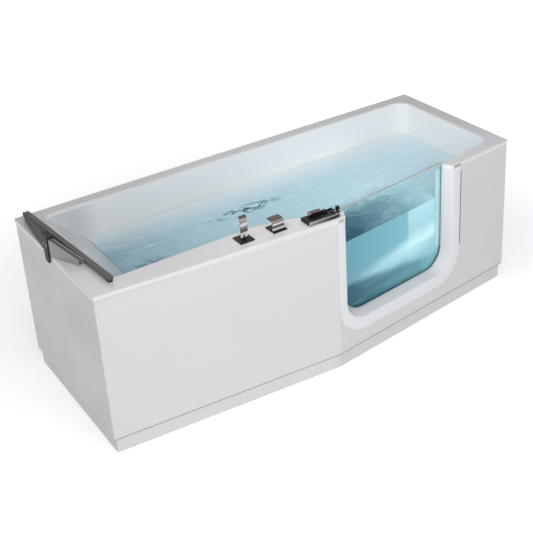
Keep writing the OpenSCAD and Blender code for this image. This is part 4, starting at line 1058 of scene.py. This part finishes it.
# ---- staging: water, floor, light
def water_surface():
    """Pale blue water: fine ripples with light streaks painted on them as highlights, darker ones over the head
    end, paler towards the rear wall and deep blue by the glass."""
    m, t, b, _ = start_material("water_surface")
    v = object_vector(t)
    x, y, _ = axes(t, v)
    colour = blend(t, ramp(t, x, -0.62, -0.30), (0.33, 0.54, 0.63), (0.50, 0.745, 0.83))
    colour = blend(t, ramp(t, x, 0.15, 0.70), colour, (0.66, 0.89, 0.96))
    slow = waves(t, v, 4.0, (1.0, 2.2, 1.0), 0.3, 3.0, 1.2)
    colour = blend(t, ramp(t, slow, 0.42, 0.62, 0.0, 0.30), colour, (0.58, 0.82, 0.90))
    # painted highlights: light streaks laid on the ripples
    streak = waves(t, v, 9.0, (1.0, 4.5, 1.0), 0.35, 4.0, 1.6)
    colour = blend(t, ramp(t, streak, 0.56, 0.72, 0.0, 0.55), colour, (0.78, 0.92, 0.97))
    fine = waves(t, v, 26.0, (1.0, 3.0, 1.0), 0.2, 3.0, 1.0)
    colour = blend(t, ramp(t, fine, 0.54, 0.66, 0.0, 0.16), colour, (0.20, 0.45, 0.55))
    deep = waves(t, v, 13.0, (1.0, 1.6, 1.0), 0.5, 3.0, 2.2)
    for px, py, rx, ry, low in ((-0.53, -0.07, 0.13, 0.12, 0.44), (-0.07, 0.13, 0.17, 0.04, 0.46)):
        dx = maths(t, "DIVIDE", minus(t, x, px), rx)
        dy = maths(t, "DIVIDE", minus(t, y, py), ry)
        far = maths(t, "SQRT", plus(t, times(t, dx, dx), times(t, dy, dy)))
        near = times(t, ramp(t, far, 1.0, 0.35), ramp(t, deep, low, low + 0.07))
        colour = blend(t, near, colour, (0.045, 0.16, 0.24))
    d = door_vector(t)
    s, back, _ = axes(t, d)
    ripple = waves(t, d, 16.0, (1.0, 1.8, 1.0), 0.0, 3.0, 1.2)
    edge = plus(t, back, times(t, ripple, 0.10))
    near = times(t, ramp(t, edge, 0.34, 0.22), ramp(t, s, -0.12, -0.02))
    near = times(t, near, ramp(t, s, 0.62, 0.40, 0.35, 1.0))
    dark = blend(t, ramp(t, s, 0.16, 0.64), (0.008, 0.078, 0.125), (0.38, 0.68, 0.77))
    light = blend(t, ramp(t, s, 0.16, 0.58), (0.035, 0.185, 0.260), (0.66, 0.88, 0.94))
    dark = blend(t, ramp(t, ripple, 0.46, 0.62, 0.0, 0.45), dark, light)
    colour = blend(t, near, colour, dark)
    pale = maths(t, "MAXIMUM", ramp(t, y, 0.14, 0.295), ramp(t, x, 0.66, 0.80, 0.0, 0.5))
    colour = blend(t, pale, colour, (0.76, 0.84, 0.86))
    feed(t, b, {"Base Color": colour, "Roughness": 0.08, "IOR": 1.15})
    add_bump(t, b, plus(t, streak, times(t, fine, 0.4)), 0.35, 0.006)
    return m


def water_side():
    """Water behind the glass: pale cyan, a bright slanting gleam, and dark below where the sill shades it."""
    m, t, b, _ = start_material("water_behind_glass")
    d = door_vector(t)
    s, _, z = axes(t, d)
    colour = blend(t, ramp(t, s, 0.10, 0.50), (0.120, 0.270, 0.340), (0.20, 0.40, 0.47))
    lit = times(t, ramp(t, s, 0.383, 0.391), ramp(t, z, 0.30, 0.46, 0.25, 0.75))
    colour = blend(t, lit, colour, (0.46, 0.66, 0.71))
    wave = waves(t, d, 10.0, (0.5, 1.0, 2.0), 0.0, 2.0, 0.6)
    soft = times(t, minus(t, wave, 0.5), 0.05)
    line = plus(t, minus(t, z, times(t, s, 0.16)), soft)
    off_line = maths(t, "ABSOLUTE", minus(t, line, 0.243))
    gleam = times(t, ramp(t, off_line, 0.055, 0.0), ramp(t, s, 0.12, 0.50, 0.1, 1.0))
    colour = blend(t, gleam, colour, (0.56, 0.74, 0.78))
    low = plus(t, plus(t, z, times(t, s, 0.125)), times(t, soft, 0.3))
    under = times(t, ramp(t, low, 0.304, 0.278), ramp(t, s, 0.56, 0.44, 0.2, 1.0))
    deep = blend(t, ramp(t, s, 0.12, 0.50), (0.030, 0.085, 0.120), (0.12, 0.28, 0.35))
    patches = waves(t, d, 9.0, (0.6, 1.0, 3.0), 0.0, 2.0, 0.5)
    deep = blend(t, ramp(t, patches, 0.45, 0.65, 0.0, 0.4), deep, (0.15, 0.30, 0.36))
    feed(t, b, {"Base Color": blend(t, under, colour, deep), "Roughness": 0.3, "IOR": 1.33,
                "Specular IOR Level": 0.2})
    return m


def make_water():
    """A closed body of water that fills the basin to just over its shoulder."""
    behind = Vector((-DOOR_SIN, DOOR_COS))
    heights = [WATER, SHOULDER - 6, 400.0, 340.0, 280.0, 220.0, 185.0]
    heights += [FLOOR + BALL - BALL * math.sin(a) for a in quarter(8)[1:]]
    bm = bmesh.new()
    rings = []
    for z in heights:
        kept = []
        for p in grown(basin_ring(max(z, FLOOR + 0.01)), -1.0):
            rel = p - Vector((KINK, 0.0))
            d = rel.y * DOOR_COS - rel.x * DOOR_SIN
            if d < WATER_BACK:
                p = p + behind * (WATER_BACK - d)
            kept.append((p.x, p.y, z + (0.5 if z < 130 else 0)))
        rings.append(ring_of(bm, kept))
    close_rings(bm, rings)
    bmesh.ops.triangulate(bm, faces=[f for f in bm.faces if len(f.verts) > 4])
    ob = new_object("water", bm, water_surface(), smooth=False)
    ob.data.materials.append(water_side())
    for f in ob.data.polygons:
        if f.normal.z < 0.9:
            f.material_index = 1


make_water()


def background_rays(t):
    """1 for rays that look straight at the background, or at it in metal or through glass."""
    path = t.nodes.new("ShaderNodeLightPath")
    total = path.outputs["Is Camera Ray"]
    for kind in ("Is Glossy Ray", "Is Transmission Ray"):
        total = maths(t, "MAXIMUM", total, path.outputs[kind])
    return total


def ground_material():
    """White floor: it shows the shadow near the bath and fades to plain white further off."""
    m, t, b, out = start_material("ground")
    grain = node(t, "ShaderNodeTexNoise", {"Scale": 3.0}).outputs["Fac"]
    feed(t, b, {"Roughness": 0.9, "Base Color": blend(t, grain, (0.86, 0.86, 0.86), (0.9, 0.9, 0.9))})
    size = node(t, "ShaderNodeVectorMath", {0: object_vector(t)}, operation="LENGTH")
    glow = ramp(t, size.outputs["Value"], 1.2, 3.0, 0.45, 1.0)
    white = node(t, "ShaderNodeEmission", {"Strength": times(t, glow, background_rays(t))})
    both = node(t, "ShaderNodeAddShader", {0: b.outputs[0], 1: white.outputs[0]})
    feed(t, out, {"Surface": both.outputs[0]})
    return m


def make_ground():
    bpy.ops.mesh.primitive_plane_add(size=30.0, location=(0, 0, -0.0005))
    ground = bpy.context.active_object
    ground.name = "ground"
    ground.data.materials.append(ground_material())


def make_room():
    """Soft light from all round, plain white where the background itself is seen."""
    world = bpy.data.worlds.new("room")
    bpy.context.scene.world = world
    world.use_nodes = True
    t = world.node_tree
    t.nodes.clear()
    soft = node(t, "ShaderNodeBackground", {"Color": (0.95, 0.96, 1.0, 1), "Strength": 0.42})
    white = node(t, "ShaderNodeBackground", {"Color": (1, 1, 1, 1), "Strength": 1.0})
    mix = node(t, "ShaderNodeMixShader", {"Fac": background_rays(t), 1: soft.outputs[0], 2: white.outputs[0]})
    node(t, "ShaderNodeOutputWorld", {"Surface": mix.outputs[0]})


def lamp(name, energy, size, spot, look=(0, 0, 0.35), spread=180.0):
    """A rectangular lamp of a size in metres at a spot, turned towards the point that it looks at."""
    data = bpy.data.lights.new(name, "AREA")
    data.energy = energy
    data.shape = "RECTANGLE"
    data.size, data.size_y = size
    data.spread = math.radians(spread)
    ob = bpy.data.objects.new(name, data)
    bpy.context.scene.collection.objects.link(ob)
    ob.location = spot
    ob.rotation_euler = (Vector(look) - Vector(spot)).to_track_quat("-Z", "Y").to_euler()


make_ground()
make_room()
lamp("front_softbox", 53.0, (3.0, 2.0), (-0.5, -3.9, 1.7))
lamp("top_softbox", 11.0, (2.0, 1.6), (-0.9, -0.9, 2.7))
lamp("foot_light", 1.15, (0.5, 0.5), (-0.80, -0.15, 1.5), look=(0.85, 0.1, 0.45), spread=70.0)
lamp("left_fill", 8.0, (2.0, 2.0), (-4.0, -0.6, 1.6))
bpy.context.scene.view_settings.view_transform = "Standard"
